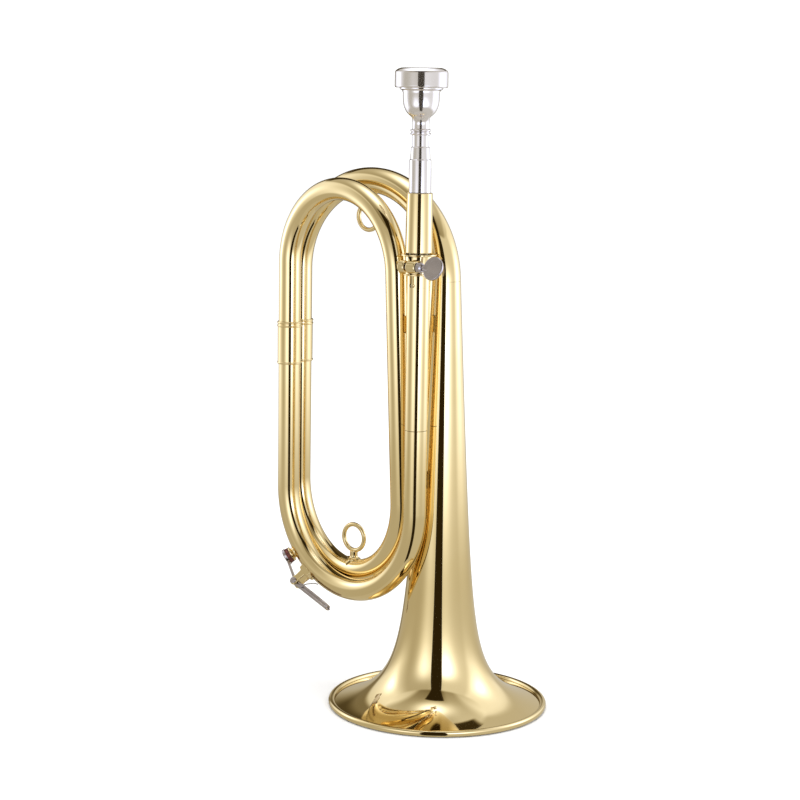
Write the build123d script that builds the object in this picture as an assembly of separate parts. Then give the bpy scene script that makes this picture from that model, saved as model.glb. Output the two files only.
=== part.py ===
from build123d import *
from math import asin, cos, degrees, pi, radians, sin, sqrt
import os

# Valveless two-coil bugle. It stands on its bell: the origin is the centre of the bell
# mouth, +Z runs up the bell's axis, and the coils lie to -X of the bell. Millimetres.

# ---------------------------------------------------------------- tubing
TUBE_R = 5.95
WALL = 0.45
BORE_R = TUBE_R - WALL
BOW_STATIONS = 13
REAR_BOW_GROWTH = 1.6

# ---------------------------------------------------------------- plan of the upright tubes
LEAD_X, FRONT_Y = 4.65, -24.1
LEFT_FRONT_X = -94.7
LEFT_REAR_X, LEFT_REAR_Y = -100.8, -10.3
MIDDLE_X = -11.3
MIDDLE_TOP_Y, MIDDLE_BOTTOM_Y = -23.95, -18.0

# ---------------------------------------------------------------- heights of the bow centres
FRONT_TOP_Z = 232.4
REAR_TOP_Z = 228.1
OUTER_BOTTOM_Z = 108.6
INNER_BOTTOM_Z = 110.95
JOINT_Z = 152.4
FERRULE_LOW_Z, FERRULE_HIGH_Z = 176.6, 200.1
FERRULE_R = 6.5
FERRULE_BEAD_R = 0.55
FERRULE_BEAD_INSET, FERRULE_BEAD_PITCH = 0.7, 1.8
JOINT_MID_Z = (FERRULE_LOW_Z + FERRULE_HIGH_Z) / 2

# ---------------------------------------------------------------- bell
BELL_MOUTH_R = 58.5
RIM_WIRE_R = 1.7
BELL_WALL = 0.5
BELL_EDGE_Z = 1.3
BELL_STEM_R = 18.28
BELL_TAPER = 0.0445
FLARE_POWER = 1.834
FLARE_OFFSET = 16.9
RIM_LAND = 1.0
FLANGE_TOP_Z, FLARE_TOP_Z = 14.0, 70.0

# ---------------------------------------------------------------- tuning slide and clamp
SLEEVE_TOP_Z = 243.6
RECEIVER_TOP_Z = 274.4
SLIDE_CLEARANCE = 0.03
SLIDE_R = BORE_R - SLIDE_CLEARANCE
SLIDE_LOW_Z = 160.0
SLIDE_SOCKET = 6.0
BAND_LOW_Z = 232.6
BAND_R = 7.1
BAND_TOP_LIP_R, BAND_TOP_LIP = 9.2, 1.0
BAND_FOOT_LIP_R, BAND_FOOT_LIP = 7.9, 0.8
RECEIVER_LOW_R, RECEIVER_HIGH_R = 7.0, 6.6
SLIT_WIDTH = 1.2
KEYHOLE_Z = 227.6
KEYHOLE_R = 1.05
CLAMP_TURN = 10.0
CLAMP_Z = 237.5
SCREW_OFFSET = 10.0
LUG_R = 3.2
LUG_GAP = 1.2
TAPPED_LUG = 3.7
PLAIN_LUG = 5.6
SCREW_R = 1.5
SCREW_CLEARANCE = 0.05
COLLAR_R, COLLAR_LENGTH = 2.75, 3.2
NECK_R, NECK_LENGTH = 1.6, 1.6
PADDLE_ALONG, PADDLE_ACROSS = 5.7, 6.2
PADDLE_THICK = 1.6
PADDLE_TURN = 20.0
PADDLE_OVERLAP = 0.9
SCREW_END_PLAY = 0.1
LUG_WEB = 4.2

# ---------------------------------------------------------------- mouthpiece
MOUTH_TOP_Z = 337.0
RIM_R = 13.5
CUP_MOUTH_R = 8.4
CUP_DEPTH = 11.5
THROAT_R = 1.85
SHANK_END_R = 4.85
SHANK_MOUTH_R = 5.45
SHANK_DEPTH = 24.0
TAPER_CLEARANCE = 0.04
RECEIVER_GAP = 0.1
SLIDE_SHOULDER = 0.2

# ---------------------------------------------------------------- cord rings
RING_X = -52.3
RING_WIRE_R = 1.2
RING_R = 7.15
RING_LOW_Z = 84.4
RING_HIGH_Z = 259.0
RING_TURN = 6.0
FOOT_POST_R = 1.9
LEAF_HALF_LENGTH, LEAF_HALF_WIDTH = 6.2, 3.0
LEAF_HEIGHT = 2.4
LEAF_SUNK_LOW, LEAF_SUNK_HIGH = 0.9, 1.5

# ---------------------------------------------------------------- water key
KEY_ROLL = 38.0
PIVOT_ANGLE = -122.7
NIPPLE_ANGLE = -137.9
PIVOT_HEIGHT = 8.4
PIN_R = 0.9
BARREL_R = 1.75
BARREL_HALF = 2.6
EAR = 1.2
EAR_GAP = 0.15
EAR_R = 2.2
SADDLE_LENGTH, SADDLE_DEPTH = 7.4, 4.4
PIN_HEAD_R, PIN_HEAD = 1.6, 0.8
NIPPLE_R = 2.6
NIPPLE_HEIGHT = 1.2
SEAT_R = 4.1
SEAT_THICK = 0.8
CORK_R = 4.2
CORK_THICK = 2.9
CORK_GAP = 0.05
CUP_R = 4.6
CUP_BACK = 0.8
CUP_LIP = 0.9
DRAIN_R = 1.4
ARM_WIDTH = 2.4
ARM_THICK = 1.1
TOUCH_LENGTH = 26.0
TOUCH_WIDTH = 5.4
TOUCH_THICK = 1.5
TOUCH_PITCH = 11.0
TOUCH_ROOT_X, TOUCH_ROOT_HALF, TOUCH_WIDE_X = 1.0, 1.2, 8.0
SPRING_WIRE_R = 0.3
COIL_R, COIL_BORE_R, COIL_LENGTH = 1.6, 1.0, 1.2
COIL_GAP = 0.3

# ---------------------------------------------------------------- soldered stays
STAY_HEIGHT = 9.0
STAY_OVERLAP = 1.2
STAY_WIDTH = 4.0
STAY_LEAD_WIDTH, STAY_LEAD_SHIFT = 3.0, -3.2
STAY_LEAD_HIGH_Z, STAY_LEAD_LOW_Z = 206.0, 124.0
STAY_LEFT_HIGH_Z, STAY_LEFT_LOW_Z = 222.0, 128.0
STAY_BELL_Z = 136.0


def bell_radius(z):
    """Outside radius of the bell at a height: a straight taper plus a flare."""
    edge_z = BELL_EDGE_Z
    edge_r = BELL_MOUTH_R - RIM_WIRE_R
    gain = (edge_r - BELL_STEM_R + BELL_TAPER * edge_z) * (edge_z + FLARE_OFFSET) ** FLARE_POWER
    return BELL_STEM_R - BELL_TAPER * z + gain * (z + FLARE_OFFSET) ** -FLARE_POWER


def ring(outer_r, inner_r, low_z, high_z, x, y):
    """Upright hollow cylinder between two heights."""
    height = high_z - low_z
    shell = Cylinder(outer_r, height) - Cylinder(inner_r, height)
    return Pos(x, y, (low_z + high_z) / 2) * shell


def rod(start, end, radius):
    """Solid cylinder from one point to another."""
    axis = Vector(*end) - Vector(*start)
    centre = (Vector(*end) + Vector(*start)) * 0.5
    return Plane(origin=centre, z_dir=axis) * Cylinder(radius, axis.length)


def pipe(start, end):
    """Straight length of the standard tube."""
    return rod(start, end, TUBE_R) - rod(start, end, BORE_R)


def ease(first, last, slope_first, slope_last, run, t):
    """Smooth sideways shift along a run with given slopes at its two ends."""
    shift = (2 * t**3 - 3 * t**2 + 1) * first + (3 * t**2 - 2 * t**3) * last
    lead = (t**3 - 2 * t**2 + t) * slope_first + (t**3 - t**2) * slope_last
    return shift + lead * run


def bow_point(bow, t):
    """Centre line of a half-turn bow, t from 0 to 1."""
    radius = (bow["x"][1] - bow["x"][0]) / 2
    centre_x = (bow["x"][0] + bow["x"][1]) / 2
    angle = pi * t
    y = ease(*bow["y"], *bow["slope"], pi * abs(radius), t)
    return Vector(centre_x - radius * cos(angle), y, bow["z"] + bow["side"] * abs(radius) * sin(angle))


def bow_plane(bow, t):
    """Plane across the bow's centre line."""
    step = 1e-4
    direction = bow_point(bow, t + step) - bow_point(bow, t - step)
    return Plane(origin=bow_point(bow, t), x_dir=(0, 1, 0), z_dir=direction)


def bow_radius(first_r, last_r, t):
    """Radius of a bow along its length; it grows faster towards its last end."""
    return first_r + (last_r - first_r) * t**REAR_BOW_GROWTH


def bow_solid(bow, first_r, last_r):
    """Solid half-turn bow."""
    sections = Sketch()
    for i in range(BOW_STATIONS):
        t = i / (BOW_STATIONS - 1)
        sections += bow_plane(bow, t) * Circle(bow_radius(first_r, last_r, t))
    return loft(sections.faces())


def bow_tube(bow, first_r=TUBE_R, last_r=TUBE_R, wall=WALL):
    """Hollow half-turn bow."""
    return bow_solid(bow, first_r, last_r) - bow_solid(bow, first_r - wall, last_r - wall)


MIDDLE_SLOPE = (MIDDLE_BOTTOM_Y - MIDDLE_TOP_Y) / (FRONT_TOP_Z - INNER_BOTTOM_Z)
FRONT_TOP = {"x": (LEFT_FRONT_X, MIDDLE_X), "y": (FRONT_Y, MIDDLE_TOP_Y), "slope": (0, MIDDLE_SLOPE),
             "z": FRONT_TOP_Z, "side": 1}
REAR_TOP = {"x": (LEFT_REAR_X, 0), "y": (LEFT_REAR_Y, 0), "slope": (0, 0), "z": REAR_TOP_Z, "side": 1}
OUTER_BOTTOM = {"x": (LEAD_X, LEFT_FRONT_X), "y": (FRONT_Y, FRONT_Y), "slope": (0, 0),
                "z": OUTER_BOTTOM_Z, "side": -1}
INNER_BOTTOM = {"x": (MIDDLE_X, LEFT_REAR_X), "y": (MIDDLE_BOTTOM_Y, LEFT_REAR_Y),
                "slope": (MIDDLE_SLOPE, 0), "z": INNER_BOTTOM_Z, "side": -1}
STEM_TOP_R = bell_radius(REAR_TOP_Z)


# ---------------------------------------------------------------- water key frame
BOW_CENTRE = Vector((LEAD_X + LEFT_FRONT_X) / 2, FRONT_Y, OUTER_BOTTOM_Z)
BOW_R = (LEAD_X - LEFT_FRONT_X) / 2


def key_plane(angle, height):
    """Plane on the outer bottom bow: z out of the tube, x along the tube, y across."""
    outward = Vector(cos(radians(angle)), 0, sin(radians(angle)))
    along = Vector(-sin(radians(angle)), 0, cos(radians(angle)))
    normal = outward * cos(radians(KEY_ROLL)) + Vector(0, -1, 0) * sin(radians(KEY_ROLL))
    origin = BOW_CENTRE + outward * BOW_R + normal * (TUBE_R + height)
    return Plane(origin=origin, x_dir=along, z_dir=normal)


PIVOT = key_plane(PIVOT_ANGLE, PIVOT_HEIGHT)
NIPPLE = key_plane(NIPPLE_ANGLE, 0)
SEAT_TOP = NIPPLE_HEIGHT + SEAT_THICK
CORK_LOW = SEAT_TOP + CORK_GAP
CUP_SHIFT = CORK_LOW + CORK_THICK


def bottom_bow_solid(radius):
    """Solid outer bottom bow of a given tube radius."""
    return bow_solid(OUTER_BOTTOM, radius, radius)


def outer_bottom_bow():
    bow = bow_tube(OUTER_BOTTOM)
    bow += pipe((LEAD_X, FRONT_Y, OUTER_BOTTOM_Z), (LEAD_X, FRONT_Y, JOINT_Z))
    bow += pipe((LEFT_FRONT_X, FRONT_Y, OUTER_BOTTOM_Z), (LEFT_FRONT_X, FRONT_Y, JOINT_MID_Z))
    drain = NIPPLE * Pos(0, 0, -WALL) * Cylinder(DRAIN_R, 4 * WALL)
    return bow - drain


def front_top_bow():
    leg = pipe((LEFT_FRONT_X, FRONT_Y, JOINT_MID_Z), (LEFT_FRONT_X, FRONT_Y, FRONT_TOP_Z))
    return bow_tube(FRONT_TOP) + leg


def middle_tube():
    return pipe((MIDDLE_X, MIDDLE_BOTTOM_Y, INNER_BOTTOM_Z), (MIDDLE_X, MIDDLE_TOP_Y, FRONT_TOP_Z))


def inner_bottom_bow():
    leg = pipe((LEFT_REAR_X, LEFT_REAR_Y, INNER_BOTTOM_Z), (LEFT_REAR_X, LEFT_REAR_Y, JOINT_MID_Z))
    return bow_tube(INNER_BOTTOM) + leg


def rear_top_bow():
    leg = pipe((LEFT_REAR_X, LEFT_REAR_Y, JOINT_MID_Z), (LEFT_REAR_X, LEFT_REAR_Y, REAR_TOP_Z))
    return bow_tube(REAR_TOP, TUBE_R, STEM_TOP_R) + leg


def ferrule(x, y):
    """Sleeve over a joint, with two beads at its top and one at its foot."""
    sleeve = ring(FERRULE_R, TUBE_R, FERRULE_LOW_Z, FERRULE_HIGH_Z, x, y)
    low_z = FERRULE_LOW_Z + FERRULE_BEAD_INSET
    high_z = FERRULE_HIGH_Z - FERRULE_BEAD_INSET
    for z in (low_z, high_z, high_z - FERRULE_BEAD_PITCH):
        sleeve += Pos(x, y, z) * Torus(FERRULE_R - 0.2, FERRULE_BEAD_R)
    return sleeve - Pos(x, y, JOINT_MID_Z) * Cylinder(TUBE_R, FERRULE_HIGH_Z - FERRULE_LOW_Z + 2)


# ---------------------------------------------------------------- bell
def bell():
    """Flared bell and its conical stem, one thin shell."""
    heights = [BELL_EDGE_Z, 2.2, 3.6, 5.5, 8, 12, 17, 24, 34, 50, 75, 110, 150, 190, REAR_TOP_Z]
    outside = []
    inside = []
    for z in heights:
        slope = (bell_radius(z + 0.01) - bell_radius(z - 0.01)) / 0.02
        length = sqrt(1 + slope**2)
        outside.append((bell_radius(z), z))
        inside.append((bell_radius(z) - BELL_WALL / length, z + BELL_WALL * slope / length))
    inside[-1] = (STEM_TOP_R - BELL_WALL, REAR_TOP_Z)
    outer_line = Spline(*outside)
    inner_line = Spline(*inside)
    mouth_line = Line(outside[0], inside[0])
    tail_line = Line(outside[-1], inside[-1])
    profile = make_face(Curve() + [outer_line, inner_line, mouth_line, tail_line])
    shell = revolve(Plane.XZ * profile, Axis.Z)
    return shell - rim_bead()


def bell_part(shell, low_z, high_z):
    """The bell between two heights."""
    middle = Pos(0, 0, (low_z + high_z) / 2)
    return shell & (middle * Cylinder(BELL_MOUTH_R + 5, high_z - low_z))


def rim_bead():
    """Wire inside the rolled rim, with a narrow flat land that it stands on."""
    bead = Pos(0, 0, RIM_WIRE_R) * Torus(BELL_MOUTH_R - RIM_WIRE_R, RIM_WIRE_R)
    land_depth = RIM_WIRE_R - sqrt(RIM_WIRE_R**2 - (RIM_LAND / 2) ** 2)
    below = Pos(0, 0, land_depth - 5) * Cylinder(BELL_MOUTH_R + 5, 10)
    return Pos(0, 0, -land_depth) * (bead - below)


# ---------------------------------------------------------------- tuning slide and receiver
def taper(low_r, high_r, low_z, high_z, x, y):
    """Upright solid cone between two heights."""
    height = high_z - low_z
    return Pos(x, y, (low_z + high_z) / 2) * Cone(low_r, high_r, height)


def clamp_plane():
    """Plane at the clamp: x along the thumb screw, y outward from the sleeve, z down."""
    turn = radians(CLAMP_TURN)
    outward = Vector(sin(turn), -cos(turn), 0)
    along = Vector(cos(turn), sin(turn), 0)
    return Plane(origin=(LEAD_X, FRONT_Y, CLAMP_Z), x_dir=along, z_dir=along.cross(outward))


CLAMP = clamp_plane()


def slit(low_z, high_z, width):
    """Slot cut through the front of the sleeve or band."""
    cutter = Pos(0, BAND_TOP_LIP_R, 0) * Box(width, 2 * BAND_TOP_LIP_R - 2, high_z - low_z)
    return Pos(0, 0, (low_z + high_z) / 2 - CLAMP_Z) * (CLAMP * cutter)


def slide_sleeve():
    sleeve = ring(TUBE_R, BORE_R, JOINT_Z, SLEEVE_TOP_Z, LEAD_X, FRONT_Y)
    sleeve -= slit(KEYHOLE_Z, SLEEVE_TOP_Z + 1, SLIT_WIDTH)
    keyhole = CLAMP * Pos(0, TUBE_R, 0) * Rot(90, 0, 0) * Cylinder(KEYHOLE_R, TUBE_R)
    return sleeve - Pos(0, 0, KEYHOLE_Z - CLAMP_Z) * keyhole


def clamp_band():
    """Split band with a wide lip at its top and a narrow one at its foot."""
    band = ring(BAND_R, TUBE_R, BAND_LOW_Z, SLEEVE_TOP_Z, LEAD_X, FRONT_Y)
    band += ring(BAND_TOP_LIP_R, TUBE_R, SLEEVE_TOP_Z - BAND_TOP_LIP, SLEEVE_TOP_Z, LEAD_X, FRONT_Y)
    band += ring(BAND_FOOT_LIP_R, TUBE_R, BAND_LOW_Z, BAND_LOW_Z + BAND_FOOT_LIP, LEAD_X, FRONT_Y)
    return band - slit(BAND_LOW_Z - 1, SLEEVE_TOP_Z + 1, SLIT_WIDTH)


def clamp_lug(start, length):
    """Barrel lug beside the slit, with a web down to the band."""
    middle = start + length / 2
    barrel = Pos(middle, SCREW_OFFSET, 0) * Rot(0, 90, 0) * Cylinder(LUG_R, length)
    web_depth = SCREW_OFFSET - TUBE_R / 2
    web = Pos(middle, SCREW_OFFSET - web_depth / 2, 0) * Box(length, web_depth, LUG_WEB)
    hole = Pos(middle, SCREW_OFFSET, 0) * Rot(0, 90, 0) * Cylinder(SCREW_R + SCREW_CLEARANCE, length)
    band_space = Cylinder(BAND_R, 4 * LUG_R)
    return CLAMP * (barrel + web - hole - band_space)


def thumb_screw():
    """Clamp screw: shaft, collar, neck and an oval flat paddle."""
    collar_start = LUG_GAP / 2 + PLAIN_LUG + SCREW_END_PLAY
    collar_end = collar_start + COLLAR_LENGTH
    neck_end = collar_end + NECK_LENGTH
    paddle_x = neck_end + PADDLE_ALONG - PADDLE_OVERLAP
    tip_x = -LUG_GAP / 2 - TAPPED_LUG
    shaft = rod((tip_x, SCREW_OFFSET, 0), (collar_end, SCREW_OFFSET, 0), SCREW_R)
    collar = rod((collar_start, SCREW_OFFSET, 0), (collar_end, SCREW_OFFSET, 0), COLLAR_R)
    neck = rod((collar_end, SCREW_OFFSET, 0), (neck_end, SCREW_OFFSET, 0), NECK_R)
    paddle = extrude(Ellipse(PADDLE_ALONG, PADDLE_ACROSS), amount=PADDLE_THICK / 2, both=True)
    paddle = Pos(paddle_x, SCREW_OFFSET, 0) * Rot(90 + PADDLE_TURN, 0, 0) * paddle
    return CLAMP * (shaft + collar + neck + paddle)


def tuning_slide_tube():
    return ring(SLIDE_R, SLIDE_R - WALL, SLIDE_LOW_Z, SLEEVE_TOP_Z + SLIDE_SOCKET, LEAD_X, FRONT_Y)


def shank_space(extra):
    """The taper that the mouthpiece shank fills."""
    low_z = RECEIVER_TOP_Z - SHANK_DEPTH
    return taper(SHANK_END_R + extra, SHANK_MOUTH_R + extra, low_z, RECEIVER_TOP_Z, LEAD_X, FRONT_Y)


def receiver():
    """Tapered receiver that stands on the sleeve and carries the slide tube."""
    low_z = SLEEVE_TOP_Z + RECEIVER_GAP
    body = taper(RECEIVER_LOW_R, RECEIVER_HIGH_R, low_z, RECEIVER_TOP_Z, LEAD_X, FRONT_Y)
    slide_top_z = SLEEVE_TOP_Z + SLIDE_SOCKET
    body -= Pos(LEAD_X, FRONT_Y, slide_top_z - 5) * Cylinder(SLIDE_R, 10)
    body -= Pos(LEAD_X, FRONT_Y, slide_top_z) * Cylinder(SHANK_END_R - SLIDE_SHOULDER, 8)
    return body - shank_space(TAPER_CLEARANCE)


# ---------------------------------------------------------------- mouthpiece
def mouthpiece():
    """Turned cup mouthpiece: rim, cup, throat, beads and shank."""
    rim_top = MOUTH_TOP_Z
    end_z = RECEIVER_TOP_Z - SHANK_DEPTH
    cup_z = rim_top - CUP_DEPTH
    outer = Polyline(
        (CUP_MOUTH_R + 2.4, rim_top - 0.15), (RIM_R - 1.1, rim_top - 1.0), (RIM_R, rim_top - 2.3),
        (RIM_R, rim_top - 9.4), (RIM_R - 0.3, rim_top - 9.8), (11.0, rim_top - 9.9),
        (10.9, rim_top - 10.7), (9.8, rim_top - 11.2), (9.35, rim_top - 12.2), (9.3, rim_top - 15.0),
        (8.7, rim_top - 18.6), (7.4, rim_top - 21.4), (5.4, rim_top - 23.6), (4.45, rim_top - 24.4),
        (4.3, rim_top - 28.5), (4.5, rim_top - 30.0), (5.35, rim_top - 30.6), (5.35, rim_top - 31.3),
        (4.7, rim_top - 31.8), (5.35, rim_top - 32.4), (5.35, rim_top - 33.1), (4.5, rim_top - 33.8),
        (4.3, rim_top - 39.0), (4.8, rim_top - 40.5), (5.15, rim_top - 45.6), (5.65, rim_top - 46.0),
        (5.65, RECEIVER_TOP_Z + 0.3), (SHANK_MOUTH_R, RECEIVER_TOP_Z + 0.1),
        (SHANK_MOUTH_R, RECEIVER_TOP_Z), (SHANK_END_R, end_z))
    bore = Polyline(
        (SHANK_END_R, end_z), (SHANK_END_R - 0.6, end_z), (THROAT_R, cup_z - 8), (THROAT_R, cup_z - 2),
        (4.2, cup_z + 1.6), (6.6, cup_z + 4.4), (7.7, cup_z + 7.8), (CUP_MOUTH_R, rim_top - 0.8),
        (CUP_MOUTH_R + 0.9, rim_top), (CUP_MOUTH_R + 2.4, rim_top - 0.15))
    profile = make_face(Curve() + [outer, bore])
    return Pos(LEAD_X, FRONT_Y, 0) * revolve(Plane.XZ * profile, Axis.Z)


# ---------------------------------------------------------------- cord rings
def bow_t_at_ring(bow):
    """Place along a bow's centre line that is level with the rings."""
    first, last = bow["x"]
    return 0.5 + asin((first + last - 2 * RING_X) / (first - last)) / pi


def inner_bow_at_ring():
    return bow_point(INNER_BOTTOM, bow_t_at_ring(INNER_BOTTOM))


def rear_bow_at_ring():
    return bow_point(REAR_TOP, bow_t_at_ring(REAR_TOP))


def cord_ring(y, z):
    """Round wire ring whose plane stands almost in the plane of the coils."""
    return Pos(RING_X, y, z) * Rot(0, 0, RING_TURN) * Rot(90, 0, 0) * Torus(RING_R, RING_WIRE_R)


def ring_foot(tube_centre, tube_r, ring_z):
    """Pointed saddle on the tube with a short post up to the ring."""
    side = 1 if ring_z > tube_centre.Z else -1
    y = tube_centre.Y
    tip_z = ring_z - side * (RING_R + RING_WIRE_R / 2)
    surface_z = tube_centre.Z + side * tube_r
    post = rod((RING_X, y, surface_z - side * LEAF_SUNK_HIGH), (RING_X, y, tip_z), FOOT_POST_R)
    leaf = extrude(Ellipse(LEAF_HALF_LENGTH, LEAF_HALF_WIDTH), amount=LEAF_HEIGHT)
    sunk = LEAF_SUNK_HIGH if side > 0 else LEAF_SUNK_LOW
    return post + Pos(RING_X, y, surface_z - sunk) * leaf


def low_ring_foot():
    centre = inner_bow_at_ring()
    foot = ring_foot(centre, TUBE_R, RING_LOW_Z)
    foot -= bow_solid(INNER_BOTTOM, TUBE_R, TUBE_R)
    return foot - cord_ring(centre.Y, RING_LOW_Z)


def high_ring_foot():
    centre = rear_bow_at_ring()
    tube_r = bow_radius(TUBE_R, STEM_TOP_R, bow_t_at_ring(REAR_TOP))
    foot = ring_foot(centre, tube_r, RING_HIGH_Z)
    foot -= bow_solid(REAR_TOP, TUBE_R, STEM_TOP_R)
    return foot - cord_ring(centre.Y, RING_HIGH_Z)


# ---------------------------------------------------------------- water key
def water_nipple():
    """Drain nipple with the seat that the cork closes."""
    skirt = Cylinder(NIPPLE_R, 2 * NIPPLE_HEIGHT)
    seat = Pos(0, 0, NIPPLE_HEIGHT + SEAT_THICK / 2) * Cylinder(SEAT_R, SEAT_THICK)
    drain = Cylinder(DRAIN_R, 20)
    return NIPPLE * (skirt + seat - drain) - bottom_bow_solid(TUBE_R)


def key_saddle():
    """Saddle on the tube with two ears that hold the hinge screw."""
    ear_y = BARREL_HALF + EAR_GAP + EAR / 2
    saddle = Pos(0, 0, -PIVOT_HEIGHT + 1.0) * Box(SADDLE_LENGTH, 2 * ear_y + EAR, SADDLE_DEPTH)
    for side in (-1, 1):
        saddle += Pos(0, side * ear_y, -PIVOT_HEIGHT / 2) * Box(2 * EAR_R, EAR, PIVOT_HEIGHT)
        saddle += Pos(0, side * ear_y, 0) * Rot(90, 0, 0) * Cylinder(EAR_R, EAR)
    saddle -= Rot(90, 0, 0) * Cylinder(PIN_R, 20)
    return PIVOT * saddle - bottom_bow_solid(TUBE_R)


def hinge_screw():
    half = BARREL_HALF + EAR_GAP + EAR
    pin = Rot(90, 0, 0) * Cylinder(PIN_R, 2 * half)
    head = Pos(0, half + PIN_HEAD / 2, 0) * Rot(90, 0, 0) * Cylinder(PIN_HEAD_R, PIN_HEAD)
    return PIVOT * (pin + head)


def touch_outline():
    """Plan of the thumb touch: narrow at the pivot, rounded at the tip."""
    half = TOUCH_WIDTH / 2
    tip = TOUCH_LENGTH - half
    side = [(TOUCH_ROOT_X, TOUCH_ROOT_HALF), (TOUCH_WIDE_X, half), (tip, half)]
    other = [(x, -y) for x, y in reversed(side)]
    plan = Polyline(*side, *other, side[0])
    return make_face(plan) + Pos(tip, 0) * Circle(half)


def key_lever():
    """Water key lever: barrel, thumb touch bent along the tube, and the arm to the cork cup."""
    barrel = Rot(90, 0, 0) * Cylinder(BARREL_R, 2 * BARREL_HALF)
    plate = extrude(touch_outline(), amount=TOUCH_THICK)
    touch = Rot(0, TOUCH_PITCH, 0) * plate
    cup_back = PIVOT.to_local_coords(key_plane(NIPPLE_ANGLE, CUP_SHIFT + CUP_BACK / 2).origin)
    arm_line = Vector(cup_back.X, cup_back.Y, cup_back.Z)
    pitch = degrees(asin(-arm_line.Z / arm_line.length))
    arm = Pos(-arm_line.length / 2, 0, 0) * Box(arm_line.length - 1.0, ARM_WIDTH, ARM_THICK)
    lever = barrel + touch + Rot(0, -pitch, 0) * arm
    lever -= Rot(90, 0, 0) * Cylinder(PIN_R + 0.05, 20)
    lever = PIVOT * lever
    return lever - cup_solid(0)


def cup_solid(hollow):
    """Cork cup; with hollow set it has the recess that the cork sits in."""
    depth = CUP_BACK + CUP_LIP
    cup = Pos(0, 0, CUP_SHIFT + CUP_BACK - depth / 2) * Cylinder(CUP_R, depth)
    if hollow:
        cup -= Pos(0, 0, CUP_SHIFT - 5) * Cylinder(CORK_R, 10)
    return NIPPLE * cup


def key_cork():
    return NIPPLE * Pos(0, 0, CORK_LOW + CORK_THICK / 2) * Cylinder(CORK_R, CORK_THICK)


def key_spring():
    """Torsion spring beside the barrel, with one tail along the tube."""
    coil_y = -(BARREL_HALF + EAR_GAP + EAR + COIL_GAP + COIL_LENGTH / 2)
    coil = Pos(0, coil_y, 0) * Rot(90, 0, 0) * Cylinder(COIL_R, COIL_LENGTH)
    coil -= Pos(0, coil_y, 0) * Rot(90, 0, 0) * Cylinder(COIL_BORE_R, 2 * COIL_LENGTH)
    tail_start = (COIL_R - SPRING_WIRE_R, coil_y, 0)
    tail_end = (9.5, coil_y + 1.5, -PIVOT_HEIGHT - 1.2)
    tail = rod(tail_start, tail_end, SPRING_WIRE_R)
    pin = Pos(0, coil_y + COIL_GAP / 2, 0) * Rot(90, 0, 0) * Cylinder(PIN_R, COIL_LENGTH + COIL_GAP)
    return PIVOT * (coil + tail), PIVOT * pin


# ---------------------------------------------------------------- soldered stays
def stay(start, end, start_r, end_r, width, shift):
    """Small brace block between two neighbouring tubes, shifted sideways off their centre line."""
    first = Vector(*start)
    gap = Vector(*end) - first
    middle = first + gap * ((gap.length + start_r - end_r) / (2 * gap.length))
    block = Pos(shift, 0, 0) * Box(width, STAY_HEIGHT, gap.length - start_r - end_r + 2 * STAY_OVERLAP)
    return Plane(origin=middle, x_dir=(-gap.Y, gap.X, 0), z_dir=gap) * block


def middle_y(z):
    return MIDDLE_TOP_Y + MIDDLE_SLOPE * (FRONT_TOP_Z - z)


def upright(x, y, z, radius):
    """Solid stretch of an upright tube about a height, for trimming a stay."""
    return Pos(x, y, z) * Cylinder(radius, 4 * STAY_HEIGHT)


def middle_stretch(z):
    low = z - 2 * STAY_HEIGHT
    high = z + 2 * STAY_HEIGHT
    return rod((MIDDLE_X, middle_y(low), low), (MIDDLE_X, middle_y(high), high), TUBE_R)


def stay_lead_middle(z):
    lead = (LEAD_X, FRONT_Y, z)
    middle = (MIDDLE_X, middle_y(z), z)
    block = stay(lead, middle, TUBE_R, TUBE_R, STAY_LEAD_WIDTH, STAY_LEAD_SHIFT)
    return block - upright(LEAD_X, FRONT_Y, z, TUBE_R) - middle_stretch(z)


def stay_left(z):
    front = (LEFT_FRONT_X, FRONT_Y, z)
    rear = (LEFT_REAR_X, LEFT_REAR_Y, z)
    block = stay(front, rear, TUBE_R, TUBE_R, STAY_WIDTH, 0)
    block -= upright(LEFT_FRONT_X, FRONT_Y, z, TUBE_R)
    return block - upright(LEFT_REAR_X, LEFT_REAR_Y, z, TUBE_R)


def stay_middle_bell(z):
    middle = (MIDDLE_X, middle_y(z), z)
    block = stay(middle, (0, 0, z), TUBE_R, bell_radius(z), STAY_WIDTH, 0)
    low = z - 2 * STAY_HEIGHT
    high = z + 2 * STAY_HEIGHT
    return block - middle_stretch(z) - taper(bell_radius(low), bell_radius(high), low, high, 0, 0)


os.makedirs("parts", exist_ok=True)

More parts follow.
